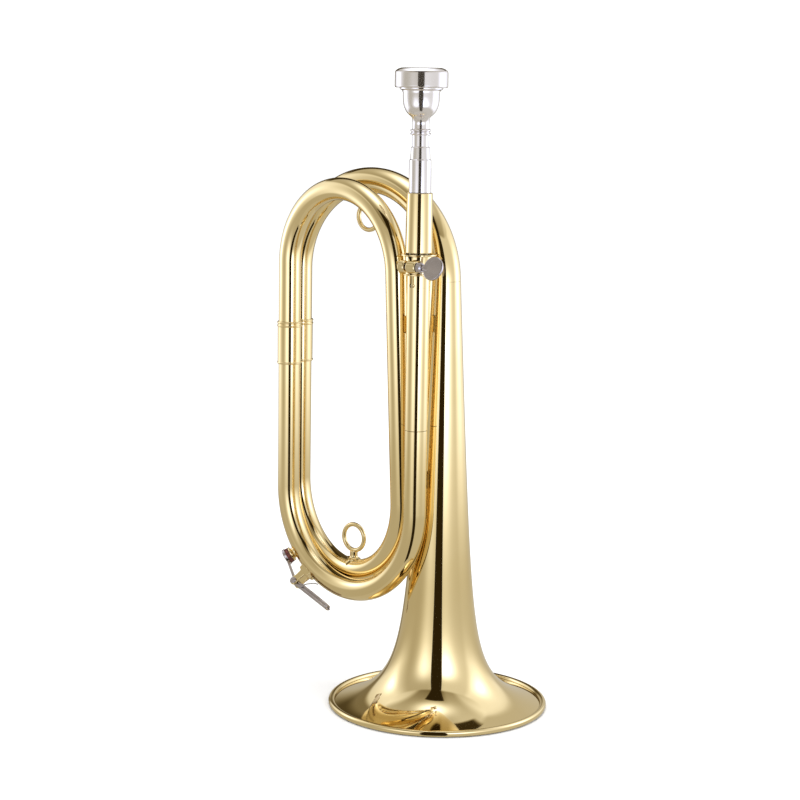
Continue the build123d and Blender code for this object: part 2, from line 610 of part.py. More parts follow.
spring, spring_pin = key_spring()
bell_shell = bell()
nodes = {
    "bell_flange": bell_part(bell_shell, 0, FLANGE_TOP_Z),
    "bell_flare": bell_part(bell_shell, FLANGE_TOP_Z, FLARE_TOP_Z),
    "bell_stem": bell_part(bell_shell, FLARE_TOP_Z, REAR_TOP_Z),
    "bell_rim_wire": rim_bead(),
    "rear_top_bow": rear_top_bow(),
    "inner_bottom_bow": inner_bottom_bow(),
    "rear_ferrule": ferrule(LEFT_REAR_X, LEFT_REAR_Y),
    "middle_tube": middle_tube(),
    "front_top_bow": front_top_bow(),
    "front_ferrule": ferrule(LEFT_FRONT_X, FRONT_Y),
    "outer_bottom_bow": outer_bottom_bow(),
    "slide_sleeve": slide_sleeve(),
    "clamp_band": clamp_band(),
    "clamp_lug_tapped": clamp_lug(-LUG_GAP / 2 - TAPPED_LUG, TAPPED_LUG),
    "clamp_lug_plain": clamp_lug(LUG_GAP / 2, PLAIN_LUG),
    "clamp_thumb_screw": thumb_screw(),
    "tuning_slide_tube": tuning_slide_tube(),
    "mouthpiece_receiver": receiver(),
    "mouthpiece": mouthpiece(),
    "cord_ring_low": cord_ring(inner_bow_at_ring().Y, RING_LOW_Z),
    "cord_ring_low_foot": low_ring_foot(),
    "cord_ring_high": cord_ring(rear_bow_at_ring().Y, RING_HIGH_Z),
    "cord_ring_high_foot": high_ring_foot(),
    "water_nipple": water_nipple(),
    "water_key_saddle": key_saddle(),
    "water_key_hinge_screw": hinge_screw() + spring_pin,
    "water_key_lever": key_lever(),
    "water_key_cork_cup": cup_solid(1),
    "water_key_cork": key_cork(),
    "water_key_spring": spring,
    "stay_lead_middle_high": stay_lead_middle(STAY_LEAD_HIGH_Z),
    "stay_lead_middle_low": stay_lead_middle(STAY_LEAD_LOW_Z),
    "stay_left_high": stay_left(STAY_LEFT_HIGH_Z),
    "stay_left_low": stay_left(STAY_LEFT_LOW_Z),
    "stay_middle_bell": stay_middle_bell(STAY_BELL_Z),
}
for name, shape in nodes.items():
    export_step(shape, f"parts/{name}.step")
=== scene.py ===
from collections import namedtuple
from math import asin, atan2, ceil, cos, degrees, exp, hypot, pi, radians, sin, sqrt, tan

import bpy
from mathutils import Matrix, Vector


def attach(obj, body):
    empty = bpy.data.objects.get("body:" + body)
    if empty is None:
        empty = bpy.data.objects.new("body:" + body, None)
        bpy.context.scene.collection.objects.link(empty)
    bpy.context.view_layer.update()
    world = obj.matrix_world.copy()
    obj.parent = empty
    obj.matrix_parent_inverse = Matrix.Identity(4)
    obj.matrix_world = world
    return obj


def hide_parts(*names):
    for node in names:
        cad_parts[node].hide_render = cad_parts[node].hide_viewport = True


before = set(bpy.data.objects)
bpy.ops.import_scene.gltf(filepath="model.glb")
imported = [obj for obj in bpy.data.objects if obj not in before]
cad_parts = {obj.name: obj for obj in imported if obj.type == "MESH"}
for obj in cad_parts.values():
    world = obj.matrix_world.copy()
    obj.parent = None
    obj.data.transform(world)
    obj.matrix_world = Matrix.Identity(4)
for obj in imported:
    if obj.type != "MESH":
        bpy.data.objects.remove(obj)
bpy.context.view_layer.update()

# A valveless two-coil bugle standing on its bell. Every visible piece is a fine closed mesh
# over the CAD solid of the same place. Lengths are in metres; mm turns millimetres into them.
mm = 0.001

# ---- tubing
TUBE_R = 5.95 * mm
WALL = 0.45 * mm
BORE_R = TUBE_R - WALL
REAR_BOW_GROWTH = 1.6
LEAD_X, FRONT_Y = 4.65 * mm, -24.1 * mm
LEFT_FRONT_X = -94.7 * mm
LEFT_REAR_X, LEFT_REAR_Y = -100.8 * mm, -10.3 * mm
MIDDLE_X = -11.3 * mm
MIDDLE_TOP_Y, MIDDLE_BOTTOM_Y = -23.95 * mm, -18.0 * mm
FRONT_TOP_Z = 232.4 * mm
REAR_TOP_Z = 228.1 * mm
OUTER_BOTTOM_Z = 108.6 * mm
INNER_BOTTOM_Z = 110.95 * mm
JOINT_Z = 152.4 * mm
FERRULE_LOW_Z, FERRULE_HIGH_Z = 176.6 * mm, 200.1 * mm
FERRULE_R = 6.5 * mm
JOINT_MID_Z = (FERRULE_LOW_Z + FERRULE_HIGH_Z) / 2

# ---- bell
BELL_MOUTH_R = 58.5 * mm
RIM_WIRE_R = 1.7 * mm
RIM_LAND = 1.0 * mm
BELL_WALL = 0.5 * mm
BELL_EDGE_Z = 1.3 * mm
BELL_STEM_R = 18.28 * mm
BELL_TAPER = 0.0445
FLARE_POWER = 1.834
FLARE_OFFSET = 16.9 * mm

# ---- sleeve, clamp and receiver
SLEEVE_TOP_Z = 243.6 * mm
RECEIVER_TOP_Z = 274.4 * mm
SLIDE_R = 5.47 * mm
SLIDE_LOW_Z, SLIDE_TOP_Z = 160 * mm, 249.6 * mm
BAND_LOW_Z = 232.6 * mm
BAND_R = 7.1 * mm
SLIT_HALF = 0.6 * mm
KEYHOLE_Z = 227.6 * mm
KEYHOLE_R = 1.05 * mm
CLAMP_TURN = radians(10)
CLAMP_Z = 237.5 * mm
SCREW_OFFSET = 10 * mm
LUG_R = 3.2 * mm
LUG_GAP = 1.2 * mm
TAPPED_LUG, PLAIN_LUG = 3.7 * mm, 5.6 * mm
SCREW_R = 1.5 * mm

# ---- mouthpiece
MOUTH_TOP_Z = 337 * mm
RIM_R = 13.5 * mm
THROAT_R = 1.85 * mm
SHANK_END_R, SHANK_MOUTH_R = 4.85 * mm, 5.45 * mm
SHANK_DEPTH = 24 * mm

# ---- cord rings
RING_X = -52.3 * mm
RING_WIRE_R = 1.2 * mm
RING_R = 7.15 * mm
RING_LOW_Z, RING_HIGH_Z = 84.4 * mm, 259 * mm
RING_TURN = radians(6)
LEAF_HALF, LEAF_THICK = 6.4 * mm, 0.9 * mm

# ---- water key
KEY_ROLL = radians(38)
PIVOT_ANGLE, NIPPLE_ANGLE = radians(-122.7), radians(-137.9)
PIVOT_HEIGHT = 8.4 * mm
PIN_R = 0.9 * mm
BARREL_R, BARREL_HALF = 1.75 * mm, 2.6 * mm
EAR, EAR_GAP = 1.2 * mm, 0.15 * mm
NIPPLE_R, NIPPLE_HEIGHT = 2.6 * mm, 1.2 * mm
SEAT_R, SEAT_THICK = 4.1 * mm, 0.8 * mm
CORK_R, CORK_THICK = 4.2 * mm, 2.9 * mm
CUP_R, CUP_BACK, CUP_LIP = 4.6 * mm, 0.8 * mm, 0.9 * mm
TOUCH_LENGTH, TOUCH_WIDTH = 26 * mm, 5.4 * mm
TOUCH_PITCH = radians(11)

X_AXIS, Y_AXIS, Z_AXIS = Vector((1, 0, 0)), Vector((0, 1, 0)), Vector((0, 0, 1))
EDGE = 0.04 * mm
JOINT_CUT = 0.24 * mm
SHARP = radians(42)
SCENE = bpy.context.scene


# ---- mesh making
class Shape:
    """Points with their own normals, and the faces between them."""

    def __init__(self):
        self.points = []
        self.normals = []
        self.faces = []

    def add(self, loops, wrap=False):
        """Joins equal closed loops of (point, normal) in order, then closes the two ends."""
        start = len(self.points)
        rows, count = len(loops), len(loops[0])
        self.points += [point for loop in loops for point, _ in loop]
        self.normals += [normal for loop in loops for _, normal in loop]
        for i in range(rows if wrap else rows - 1):
            a = start + i * count
            b = start + (i + 1) % rows * count
            for j in range(count):
                k = (j + 1) % count
                self.faces.append((a + j, a + k, b + k, b + j))
        if not wrap:
            last = start + (rows - 1) * count
            self.faces.append(tuple(start + count - 1 - j for j in range(count)))
            self.faces.append(tuple(last + j for j in range(count)))
        return self


def put_in_scene(name, data):
    obj = bpy.data.objects.new(name, data)
    SCENE.collection.objects.link(obj)
    return obj


def piece(name, shape, finish, body, *nodes, exact=True):
    """Makes the mesh object, gives it its finish, and fastens it to a CAD body."""
    mesh = bpy.data.meshes.new(name)
    mesh.from_pydata(shape.points, [], shape.faces)
    mesh.shade_smooth()
    if exact:
        mesh.normals_split_custom_set_from_vertices(shape.normals)
    else:
        mesh.set_sharp_from_angle(angle=SHARP)
    material, slot_name = finish
    mesh.materials.append(material)
    obj = put_in_scene(name, mesh)
    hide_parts(*nodes)
    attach(obj, body)


def in_mm(*rows):
    """Rows of millimetres, turned into metres."""
    return [tuple(value * mm for value in row) for row in rows]


def spoke(angle):
    """Unit vector at an angle round the z axis."""
    return Vector((cos(angle), sin(angle), 0))


def round_angles(count):
    """Equal steps round a full circle."""
    return [2 * pi * j / count for j in range(count)]


def outline(corners):
    """Closed outline through (x, y, fillet) points, as (x, y, normal x, normal y).

    It runs counterclockwise round the material. A point without a fillet lies on a curve."""
    result = []
    count = len(corners)
    for i, (x, y, fillet) in enumerate(corners):
        here = Vector((x, y))
        before = here - Vector(corners[i - 1][:2])
        after = Vector(corners[(i + 1) % count][:2]) - here
        into, out = before.normalized(), after.normalized()
        turn = atan2(into.cross(out), into.dot(out))
        if not fillet or abs(turn) < 1e-4:
            along = (into * after.length + out * before.length).normalized()
            result.append((x, y, along.y, -along.x))
            continue
        reach = min(fillet * tan(abs(turn) / 2), 0.45 * min(before.length, after.length))
        radius = reach / tan(abs(turn) / 2)
        side = 1 if turn > 0 else -1
        first = Vector((into.y, -into.x))
        centre = here - into * reach - first * radius * side
        steps = max(2, ceil(abs(turn) / radians(15)))
        for step in range(steps + 1):
            normal = Matrix.Rotation(turn * step / steps, 2) @ first
            point = centre + normal * radius * side
            result.append((point.x, point.y, normal.x, normal.y))
    return result


def curve(points, steps=6):
    """Dense smooth curve through points, as outline corners without fillets."""
    result = []
    last = len(points) - 1
    for i in range(last):
        p0, p1 = points[max(i - 1, 0)], points[i]
        p2, p3 = points[i + 1], points[min(i + 2, last)]
        for step in range(steps):
            t = step / steps
            x, y = (0.5 * (2 * b + (c - a) * t + (2 * a - 5 * b + 4 * c - d) * t**2
                           + (3 * b - a - 3 * c + d) * t**3)
                    for a, b, c, d in zip(p0, p1, p2, p3))
            result.append((x, y, 0))
    return result + [(*points[-1], 0)]


def placed(origin, z_dir=Z_AXIS, x_dir=X_AXIS):
    """Matrix of a frame from its origin, z direction and rough x direction."""
    z = z_dir.normalized()
    y = z.cross(x_dir).normalized()
    x = y.cross(z)
    return Matrix.Translation(origin) @ Matrix((x, y, z)).transposed().to_4x4()


def revolved(profile, place, segments):
    """A loop round the frame's z axis for each (radius, z, normal) of a profile."""
    turn = place.to_3x3()
    loops = []
    for r, z, nr, nz in profile:
        loops.append([(place @ (spoke(angle) * r + Z_AXIS * z),
                       turn @ (spoke(angle) * nr + Z_AXIS * nz))
                      for angle in round_angles(segments)])
    return loops


def turned(shape, profile, place, segments=96):
    """Body of revolution from a closed profile, so with a bore."""
    return shape.add(revolved(profile, place, segments), wrap=True)


def solid_turned(shape, corners, place, segments=64):
    """Body of revolution without a bore; corners run up its outside."""
    tiny = 0.02 * mm
    low, high = corners[0][1], corners[-1][1]
    profile = outline([(tiny, low, 0)] + corners + [(tiny, high, 0)])
    profile[0] = (tiny, low, 0, -1)
    profile[-1] = (tiny, high, 0, 1)
    return shape.add(revolved(profile, place, segments))


def slab(shape, corners, low, high, place, edge=0.25 * mm, steps=4):
    """Plate between two heights of a frame, with rounded edges."""
    plan = outline(corners)
    turn = place.to_3x3()
    loops = []
    for end, level in ((-1, low), (1, high)):
        for step in range(steps + 1):
            rise = step / steps if end > 0 else 1 - step / steps
            angle = rise * pi / 2
            inset = edge * (1 - cos(angle))
            z = level - end * edge * (1 - sin(angle))
            loops.append([(place @ Vector((x - nx * inset, y - ny * inset, z)),
                           turn @ Vector((nx * cos(angle), ny * cos(angle), end * sin(angle))))
                          for x, y, nx, ny in plan])
    return shape.add(loops)


def section(centre, direction, radius, slope, spread, along, segments):
    """One ring round a tube; spread and along mix the radial and lengthwise normals."""
    side = (Y_AXIS - direction * direction.y).normalized()
    up = side.cross(direction)
    loop = []
    for angle in round_angles(segments):
        radial = up * cos(angle) + side * sin(angle)
        normal = radial * spread + direction * (along - slope * spread)
        loop.append((centre + radial * radius, normal.normalized()))
    return loop


def tube(shape, stations, segments=72, cuts=(EDGE, EDGE)):
    """Hollow tube along (centre, radius) stations; cuts are the chamfers of its two ends."""
    last = len(stations) - 1
    ways, outer, inner = [], [], []
    for i, (centre, radius) in enumerate(stations):
        before, after = stations[max(i - 1, 0)], stations[min(i + 1, last)]
        step = after[0] - before[0]
        slope = (after[1] - before[1]) / step.length
        ways.append(step.normalized())
        outer.append(section(centre, ways[i], radius, slope, 1, 0, segments))
        inner.append(section(centre, ways[i], radius - WALL, slope, -1, 0, segments))

    def end_face(i, end):
        (centre, radius), way, cut = stations[i], ways[i], cuts[max(end, 0)]
        middle = centre + way * end * cut
        rims = [section(middle, way, radius - cut, 0, 0, end, segments),
                section(middle, way, radius - WALL + EDGE, 0, 0, end, segments)]
        return rims if end > 0 else rims[::-1]

    return shape.add(outer + end_face(last, 1) + inner[::-1] + end_face(0, -1), wrap=True)


def wire(shape, points, radius):
    """Solid round wire along points, with rounded ends."""
    last = len(points) - 1
    ways = [(points[min(i + 1, last)] - points[max(i - 1, 0)]).normalized()
            for i in range(last + 1)]
    side = ways[0].orthogonal().normalized()
    loops = []
    for i, (point, way) in enumerate(zip(points, ways)):
        side = (side - way * side.dot(way)).normalized()
        up = way.cross(side)
        caps = [(0, 1)]
        if i == 0:
            caps = [(-1, 0.15), (-0.7, 0.71), (0, 1)]
        if i == last:
            caps = [(0, 1), (0.7, 0.71), (1, 0.15)]
        for ahead, wide in caps:
            loop = []
            for angle in round_angles(14):
                radial = side * cos(angle) + up * sin(angle)
                place = point + way * ahead * radius + radial * wide * radius
                loop.append((place, (radial * wide + way * ahead).normalized()))
            loops.append(loop)
    return shape.add(loops)


# ---- finishes
def blank_material(name):
    """New material, with its node tree and its shader."""
    material = bpy.data.materials.new(name)
    material.use_nodes = True
    tree = material.node_tree
    return material, tree, tree.nodes["Principled BSDF"]


def node(tree, kind, **settings):
    made = tree.nodes.new(kind)
    for key, value in settings.items():
        setattr(made, key, value)
    return made


def noise(tree, scale, detail, stretch=None):
    """Noise in the object's own space, if wanted stretched along an axis."""
    field = node(tree, "ShaderNodeTexNoise")
    field.inputs["Scale"].default_value = scale
    field.inputs["Detail"].default_value = detail
    source = node(tree, "ShaderNodeTexCoord").outputs["Object"]
    if stretch:
        mapping = node(tree, "ShaderNodeMapping")
        mapping.inputs["Scale"].default_value = stretch
        tree.links.new(source, mapping.inputs["Vector"])
        source = mapping.outputs["Vector"]
    tree.links.new(source, field.inputs["Vector"])
    return field.outputs["Fac"]


def ramp(tree, source, stops):
    """Colour ramp from (place, colour) stops."""
    made = node(tree, "ShaderNodeValToRGB")
    elements = made.color_ramp.elements
    while len(elements) < len(stops):
        elements.new(0.5)
    for element, (place, colour) in zip(elements, stops):
        element.position = place
        element.color = (*colour, 1)
    tree.links.new(source, made.inputs["Fac"])
    return made.outputs["Color"]


def spread_value(tree, source, low, high):
    made = node(tree, "ShaderNodeMapRange")
    made.inputs["To Min"].default_value = low
    made.inputs["To Max"].default_value = high
    tree.links.new(source, made.inputs["Value"])
    return made.outputs["Result"]


def bumps(tree, height, distance, below=None, strength=1.0):
    made = node(tree, "ShaderNodeBump")
    made.inputs["Strength"].default_value = strength
    made.inputs["Distance"].default_value = distance
    tree.links.new(height, made.inputs["Height"])
    if below:
        tree.links.new(below, made.inputs["Normal"])
    return made.outputs["Normal"]


def painted_crevice_shade(tree, unshaded, crevice_shade):
    """Colour darkened by painted shade where surfaces meet closely, as ambient occlusion mixes in a
    dark shade colour.
    """
    hollow = node(tree, "ShaderNodeAmbientOcclusion", samples=6)
    hollow.inputs["Distance"].default_value = 1.3 * mm
    openness = node(tree, "ShaderNodeMapRange")
    openness.inputs["From Min"].default_value = 0.3
    openness.inputs["From Max"].default_value = 0.66
    tree.links.new(hollow.outputs["AO"], openness.inputs["Value"])
    blend = node(tree, "ShaderNodeMix", data_type="RGBA")
    factor, shut, bare = (blend.inputs[i] for i in (0, 6, 7))
    shut.default_value = (*crevice_shade, 1)
    tree.links.new(openness.outputs["Result"], factor)
    tree.links.new(unshaded, bare)
    return blend.outputs[2]


def metal(name, deep, light, rough, smudge, wave, scratch, metallic=1.0):
    """Polished metal with slow tone changes, smudges, gentle waves and fine scratches.

    smudge is the scale of its patches; wave and scratch are depths."""
    material, tree, shader = blank_material(name)
    shader.inputs["Metallic"].default_value = metallic
    unshaded = ramp(tree, noise(tree, smudge, 4), [(0.3, deep), (0.7, light)])
    # Painted shade: the base colour turns dark where ambient occlusion finds a crevice or a meeting
    # of parts.
    crevice_shade = [level * 0.12 for level in deep]
    tree.links.new(painted_crevice_shade(tree, unshaded, crevice_shade), shader.inputs["Base Color"])
    film = noise(tree, smudge * 3.2, 6)
    tree.links.new(spread_value(tree, film, *rough), shader.inputs["Roughness"])
    swell = bumps(tree, noise(tree, 60, 2), wave)
    lines = noise(tree, 900, 2, (1, 1, 9))
    tree.links.new(bumps(tree, lines, scratch, swell), shader.inputs["Normal"])
    return material


def cork_material():
    material, tree, shader = blank_material("red_cork")
    grain = noise(tree, 900, 5)
    colours = ramp(tree, grain, [(0.3, (0.035, 0.008, 0.006)), (0.55, (0.115, 0.024, 0.016)),
                                 (0.8, (0.21, 0.055, 0.035))])
    tree.links.new(colours, shader.inputs["Base Color"])
    shader.inputs["Roughness"].default_value = 0.7
    pits = bumps(tree, grain, 0.2 * mm, strength=0.8)
    tree.links.new(pits, shader.inputs["Normal"])
    return material


BRASS = (metal("polished_brass", (0.88, 0.69, 0.34), (0.94, 0.755, 0.405), rough=(0.03, 0.07),
               smudge=22, wave=0.012 * mm, scratch=0.0005 * mm), "lacquered_brass")
SILVER = (metal("polished_silver", (0.85, 0.80, 0.77), (0.94, 0.89, 0.855), rough=(0.08, 0.13),
                smudge=30, wave=0.01 * mm, scratch=0.001 * mm, metallic=0.96), "silver_plate")
NICKEL = (metal("worn_nickel", (0.45, 0.40, 0.39), (0.64, 0.575, 0.555), rough=(0.14, 0.26),
                smudge=90, wave=0.03 * mm, scratch=0.003 * mm), "nickel")
STEEL = (metal("drawn_steel", (0.42, 0.40, 0.38), (0.6, 0.58, 0.55), rough=(0.16, 0.3),
               smudge=120, wave=0.02 * mm, scratch=0.003 * mm), "spring_steel")
CORK = (cork_material(), "cork")


# ---- bows and tubes
def ease(first, last, slope_first, slope_last, run, t):
    """Smooth sideways shift along a run with given slopes at its two ends."""
    shift = (2 * t**3 - 3 * t**2 + 1) * first + (3 * t**2 - 2 * t**3) * last
    lead = (t**3 - 2 * t**2 + t) * slope_first + (t**3 - t**2) * slope_last
    return shift + lead * run


MIDDLE_SLOPE = (MIDDLE_BOTTOM_Y - MIDDLE_TOP_Y) / (FRONT_TOP_Z - INNER_BOTTOM_Z)
Bow = namedtuple("Bow", "x y slope z side")
FRONT_TOP = Bow((LEFT_FRONT_X, MIDDLE_X), (FRONT_Y, MIDDLE_TOP_Y), (0, MIDDLE_SLOPE),
                FRONT_TOP_Z, 1)
REAR_TOP = Bow((LEFT_REAR_X, 0), (LEFT_REAR_Y, 0), (0, 0), REAR_TOP_Z, 1)
OUTER_BOTTOM = Bow((LEAD_X, LEFT_FRONT_X), (FRONT_Y, FRONT_Y), (0, 0), OUTER_BOTTOM_Z, -1)
INNER_BOTTOM = Bow((MIDDLE_X, LEFT_REAR_X), (MIDDLE_BOTTOM_Y, LEFT_REAR_Y), (MIDDLE_SLOPE, 0),
                   INNER_BOTTOM_Z, -1)
BOW_STEPS = 112


def bow_point(bow, t):
    """Centre line of a half-turn bow, t from 0 to 1."""
    first, last = bow.x
    radius, middle = (last - first) / 2, (first + last) / 2
    y = ease(*bow.y, *bow.slope, pi * abs(radius), t)
    height = bow.side * abs(radius) * sin(pi * t)
    return Vector((middle - radius * cos(pi * t), y, bow.z + height))


def bow_t_at_ring(bow):
    """Place along a bow that lies over or under its cord ring."""
    first, last = bow.x
    return 0.5 + asin((first + last - 2 * RING_X) / (first - last)) / pi


def bow_stations(bow, first_r=TUBE_R, last_r=TUBE_R):
    stations = []
    for i in range(BOW_STEPS + 1):
        t = i / BOW_STEPS
        stations.append((bow_point(bow, t), first_r + (last_r - first_r) * t**REAR_BOW_GROWTH))
    return stations


def leg(x, y, low, high, steps=6):
    return [(Vector((x, y, low + (high - low) * i / steps)), TUBE_R) for i in range(steps)]


def bell_radius(z):
    """Outside radius of the bell at a height: a straight taper plus a flare."""
    edge_r = BELL_MOUTH_R - RIM_WIRE_R
    rest = edge_r - BELL_STEM_R + BELL_TAPER * BELL_EDGE_Z
    reach = (BELL_EDGE_Z + FLARE_OFFSET) / (z + FLARE_OFFSET)
    return BELL_STEM_R - BELL_TAPER * z + rest * reach**FLARE_POWER


STEM_TOP_R = bell_radius(REAR_TOP_Z)
UPRIGHT = placed((0, 0, 0))


def coils():
    """The bows, each with its straight legs, and the leaning tube between the two coils."""
    path = leg(LEAD_X, FRONT_Y, JOINT_Z - JOINT_CUT, OUTER_BOTTOM_Z) + bow_stations(OUTER_BOTTOM)
    path += leg(LEFT_FRONT_X, FRONT_Y, JOINT_MID_Z, OUTER_BOTTOM_Z)[::-1]
    shape = tube(Shape(), path, cuts=(JOINT_CUT, EDGE))
    piece("outer_bow_skin", shape, BRASS, "horn", "outer_bottom_bow")
    path = leg(LEFT_FRONT_X, FRONT_Y, JOINT_MID_Z, FRONT_TOP_Z) + bow_stations(FRONT_TOP)
    piece("front_bow_skin", tube(Shape(), path), BRASS, "horn", "front_top_bow")
    top = Vector((MIDDLE_X, MIDDLE_TOP_Y, FRONT_TOP_Z))
    foot = Vector((MIDDLE_X, MIDDLE_BOTTOM_Y, INNER_BOTTOM_Z))
    path = [(top.lerp(foot, i / 8), TUBE_R) for i in range(9)]
    piece("middle_tube_skin", tube(Shape(), path), BRASS, "horn", "middle_tube")
    path = bow_stations(INNER_BOTTOM)
    path += leg(LEFT_REAR_X, LEFT_REAR_Y, JOINT_MID_Z, INNER_BOTTOM_Z)[::-1]
    piece("inner_bow_skin", tube(Shape(), path), BRASS, "horn", "inner_bottom_bow")
    path = leg(LEFT_REAR_X, LEFT_REAR_Y, JOINT_MID_Z, REAR_TOP_Z)
    path += bow_stations(REAR_TOP, TUBE_R, STEM_TOP_R)
    piece("rear_bow_skin", tube(Shape(), path, segments=96), BRASS, "horn", "rear_top_bow")


def bead(radius, z, bead_r, sunk):
    """Half-round bead on an upright outside, as outline corners."""
    start = asin(sqrt(bead_r**2 - sunk**2) / bead_r)
    rise = bead_r * sin(start)
    arc = [(radius - sunk + bead_r * cos(a), z + bead_r * sin(a), 0)
           for a in [start * (i / 5 - 1) for i in range(1, 10)]]
    return [(radius, z - rise, 0.12 * mm)] + arc + [(radius, z + rise, 0.12 * mm)]


def ferrules():
    """Sleeves with three beads over the joints of the left legs."""
    bead_r, sunk, inset = 0.55 * mm, 0.2 * mm, 0.7 * mm
    inner = TUBE_R - 0.02 * mm
    corners = [(FERRULE_R, FERRULE_LOW_Z, 0.08 * mm)]
    for z in (FERRULE_LOW_Z + inset, FERRULE_HIGH_Z - inset - 1.8 * mm, FERRULE_HIGH_Z - inset):
        corners += bead(FERRULE_R, z, bead_r, sunk)
    corners += [(FERRULE_R, FERRULE_HIGH_Z, 0.08 * mm), (inner, FERRULE_HIGH_Z, EDGE),
                (inner, FERRULE_LOW_Z, EDGE)]
    for word, x, y in (("front", LEFT_FRONT_X, FRONT_Y), ("rear", LEFT_REAR_X, LEFT_REAR_Y)):
        shape = turned(Shape(), outline(corners), placed((x, y, 0)))
        piece(f"{word}_ferrule_skin", shape, BRASS, "horn", f"{word}_ferrule")


def bell():
    """Stem and flare in one seamless skin."""
    steps = 110
    height = REAR_TOP_Z - BELL_EDGE_Z
    outside = []
    for i in range(steps + 1):
        z = BELL_EDGE_Z + height * (i / steps) ** 2.2
        slope = (bell_radius(z + EDGE) - bell_radius(z - EDGE)) / (2 * EDGE)
        length = hypot(1, slope)
        outside.append((bell_radius(z), z, 1 / length, -slope / length))
    inside = [(r - BELL_WALL * nr, z - BELL_WALL * nz, -nr, -nz) for r, z, nr, nz in outside]
    shape = turned(Shape(), outside + inside[::-1], UPRIGHT, 288)
    piece("bell_skin", shape, BRASS, "horn", "bell_flange", "bell_flare", "bell_stem")


def rim_bead():
    """Rolled wire round the bell's mouth, with a narrow flat that it stands on."""
    flat = asin(RIM_LAND / 2 / RIM_WIRE_R)
    centre_r = BELL_MOUTH_R - RIM_WIRE_R
    centre_z = RIM_WIRE_R * cos(flat)
    steps = 40
    arc = [flat - pi / 2 + 2 * (pi - flat) * i / steps for i in range(steps + 1)]
    profile = [(centre_r + RIM_WIRE_R * cos(a), centre_z + RIM_WIRE_R * sin(a), cos(a), sin(a))
               for a in arc]
    piece("rim_skin", turned(Shape(), profile, UPRIGHT, 288), BRASS, "horn", "bell_rim_wire")


# ---- sleeve, clamp and slide
LEAD = placed((LEAD_X, FRONT_Y, 0))
OUTWARD = Vector((sin(CLAMP_TURN), -cos(CLAMP_TURN), 0))
ALONG = Vector((cos(CLAMP_TURN), sin(CLAMP_TURN), 0))
CLAMP = placed((LEAD_X, FRONT_Y, CLAMP_Z), -Z_AXIS, ALONG)
SCREW = placed(CLAMP @ Vector((0, SCREW_OFFSET, 0)), ALONG, -Z_AXIS)


def split_ring(shape, outside, bore, half_width, bevel=0.0):
    """Upright ring about the lead pipe, open along the slit; outside runs up its profile."""
    lean, segments = radians(42), 96
    loops = []
    last = len(outside) - 1
    low, high = outside[0][1], outside[last][1]
    start = atan2(OUTWARD.y, OUTWARD.x)

    def sweep(gap):
        return [spoke(start + gap + 2 * (pi - gap) * i / segments) for i in range(segments + 1)]

    for i, (r, z, nr, nz) in enumerate(outside):
        half = half_width(z)
        inner_z = low + (high - low) * i / last
        cut = bevel * min(half / SLIT_HALF, 1)
        lip_gap, inner_gap = asin(half / r), asin(half / bore)
        outer_gap = lip_gap + cut / r
        loop = [(LEAD @ (out * r + Z_AXIS * z), out * nr + Z_AXIS * nz) for out in sweep(outer_gap)]
        for end in (-1, 1) if bevel else ():
            face = []
            for gap, sunk in ((lip_gap, cut * tan(lean)), (outer_gap, 0)):
                angle = start - end * gap
                out, along = spoke(angle), spoke(angle + pi / 2) * end
                face.append((LEAD @ (out * (r - sunk) + Z_AXIS * z),
                             out * cos(lean) + along * sin(lean)))
            loop = face + loop if end < 0 else loop + face[::-1]
        loop += [(LEAD @ (out * bore + Z_AXIS * inner_z), -out) for out in sweep(inner_gap)[::-1]]
        loops.append(loop)
    return shape.add(loops)


def sleeve_half_width(z):
    """Half-width of the sleeve's slit: nothing, then the keyhole, then the slit."""
    drop = abs(z - KEYHOLE_Z)
    least = 0.004 * mm
    if drop >= KEYHOLE_R:
        return SLIT_HALF if z > KEYHOLE_Z else least
    hole = sqrt(KEYHOLE_R**2 - drop**2)
    return max(hole, SLIT_HALF) if z > KEYHOLE_Z else max(hole, least)


def sleeve():
    """Lead pipe: whole up to the keyhole, and slit from there to its top."""
    whole_top = KEYHOLE_Z - KEYHOLE_R
    path = leg(LEAD_X, FRONT_Y, JOINT_Z + JOINT_CUT, whole_top)
    path += [(Vector((LEAD_X, FRONT_Y, whole_top)), TUBE_R)]
    shape = tube(Shape(), path, cuts=(JOINT_CUT, EDGE))
    levels = [whole_top + EDGE + 2 * KEYHOLE_R * i / 24 for i in range(25)]
    levels += [whole_top + 2.4 * KEYHOLE_R, BAND_LOW_Z, SLEEVE_TOP_Z]
    split_ring(shape, [(TUBE_R, z, 1, 0) for z in levels], BORE_R, sleeve_half_width, 0.47 * mm)
    piece("sleeve_skin", shape, BRASS, "horn", "slide_sleeve")


def clamp_band():
    """Split band with a wide lip at its top and a small one at its foot."""
    low, high = BAND_LOW_Z, SLEEVE_TOP_Z
    lip_r, foot_r, crown_r = 9.2 * mm, 7.9 * mm, 7.0 * mm
    lip_z, foot_z = high - 1.0 * mm, low + 0.8 * mm
    bore = TUBE_R + 0.01 * mm
    profile = outline([(bore, low, 0), (foot_r, low, 0.3 * mm), (foot_r, foot_z, 0.3 * mm),
                       (BAND_R, foot_z, 0.25 * mm), (BAND_R, lip_z, 0.4 * mm),
                       (lip_r, lip_z, 0.3 * mm), (lip_r, high - 0.2 * mm, 0.15 * mm),
                       (crown_r, high, EDGE), (bore, high, 0)])
    profile[0] = (bore, low, 0, -1)
    profile[-1] = (bore, high, 0, 1)
    shape = split_ring(Shape(), profile, bore - 0.005 * mm, lambda z: SLIT_HALF)
    piece("clamp_band_skin", shape, BRASS, "horn", "clamp_band")


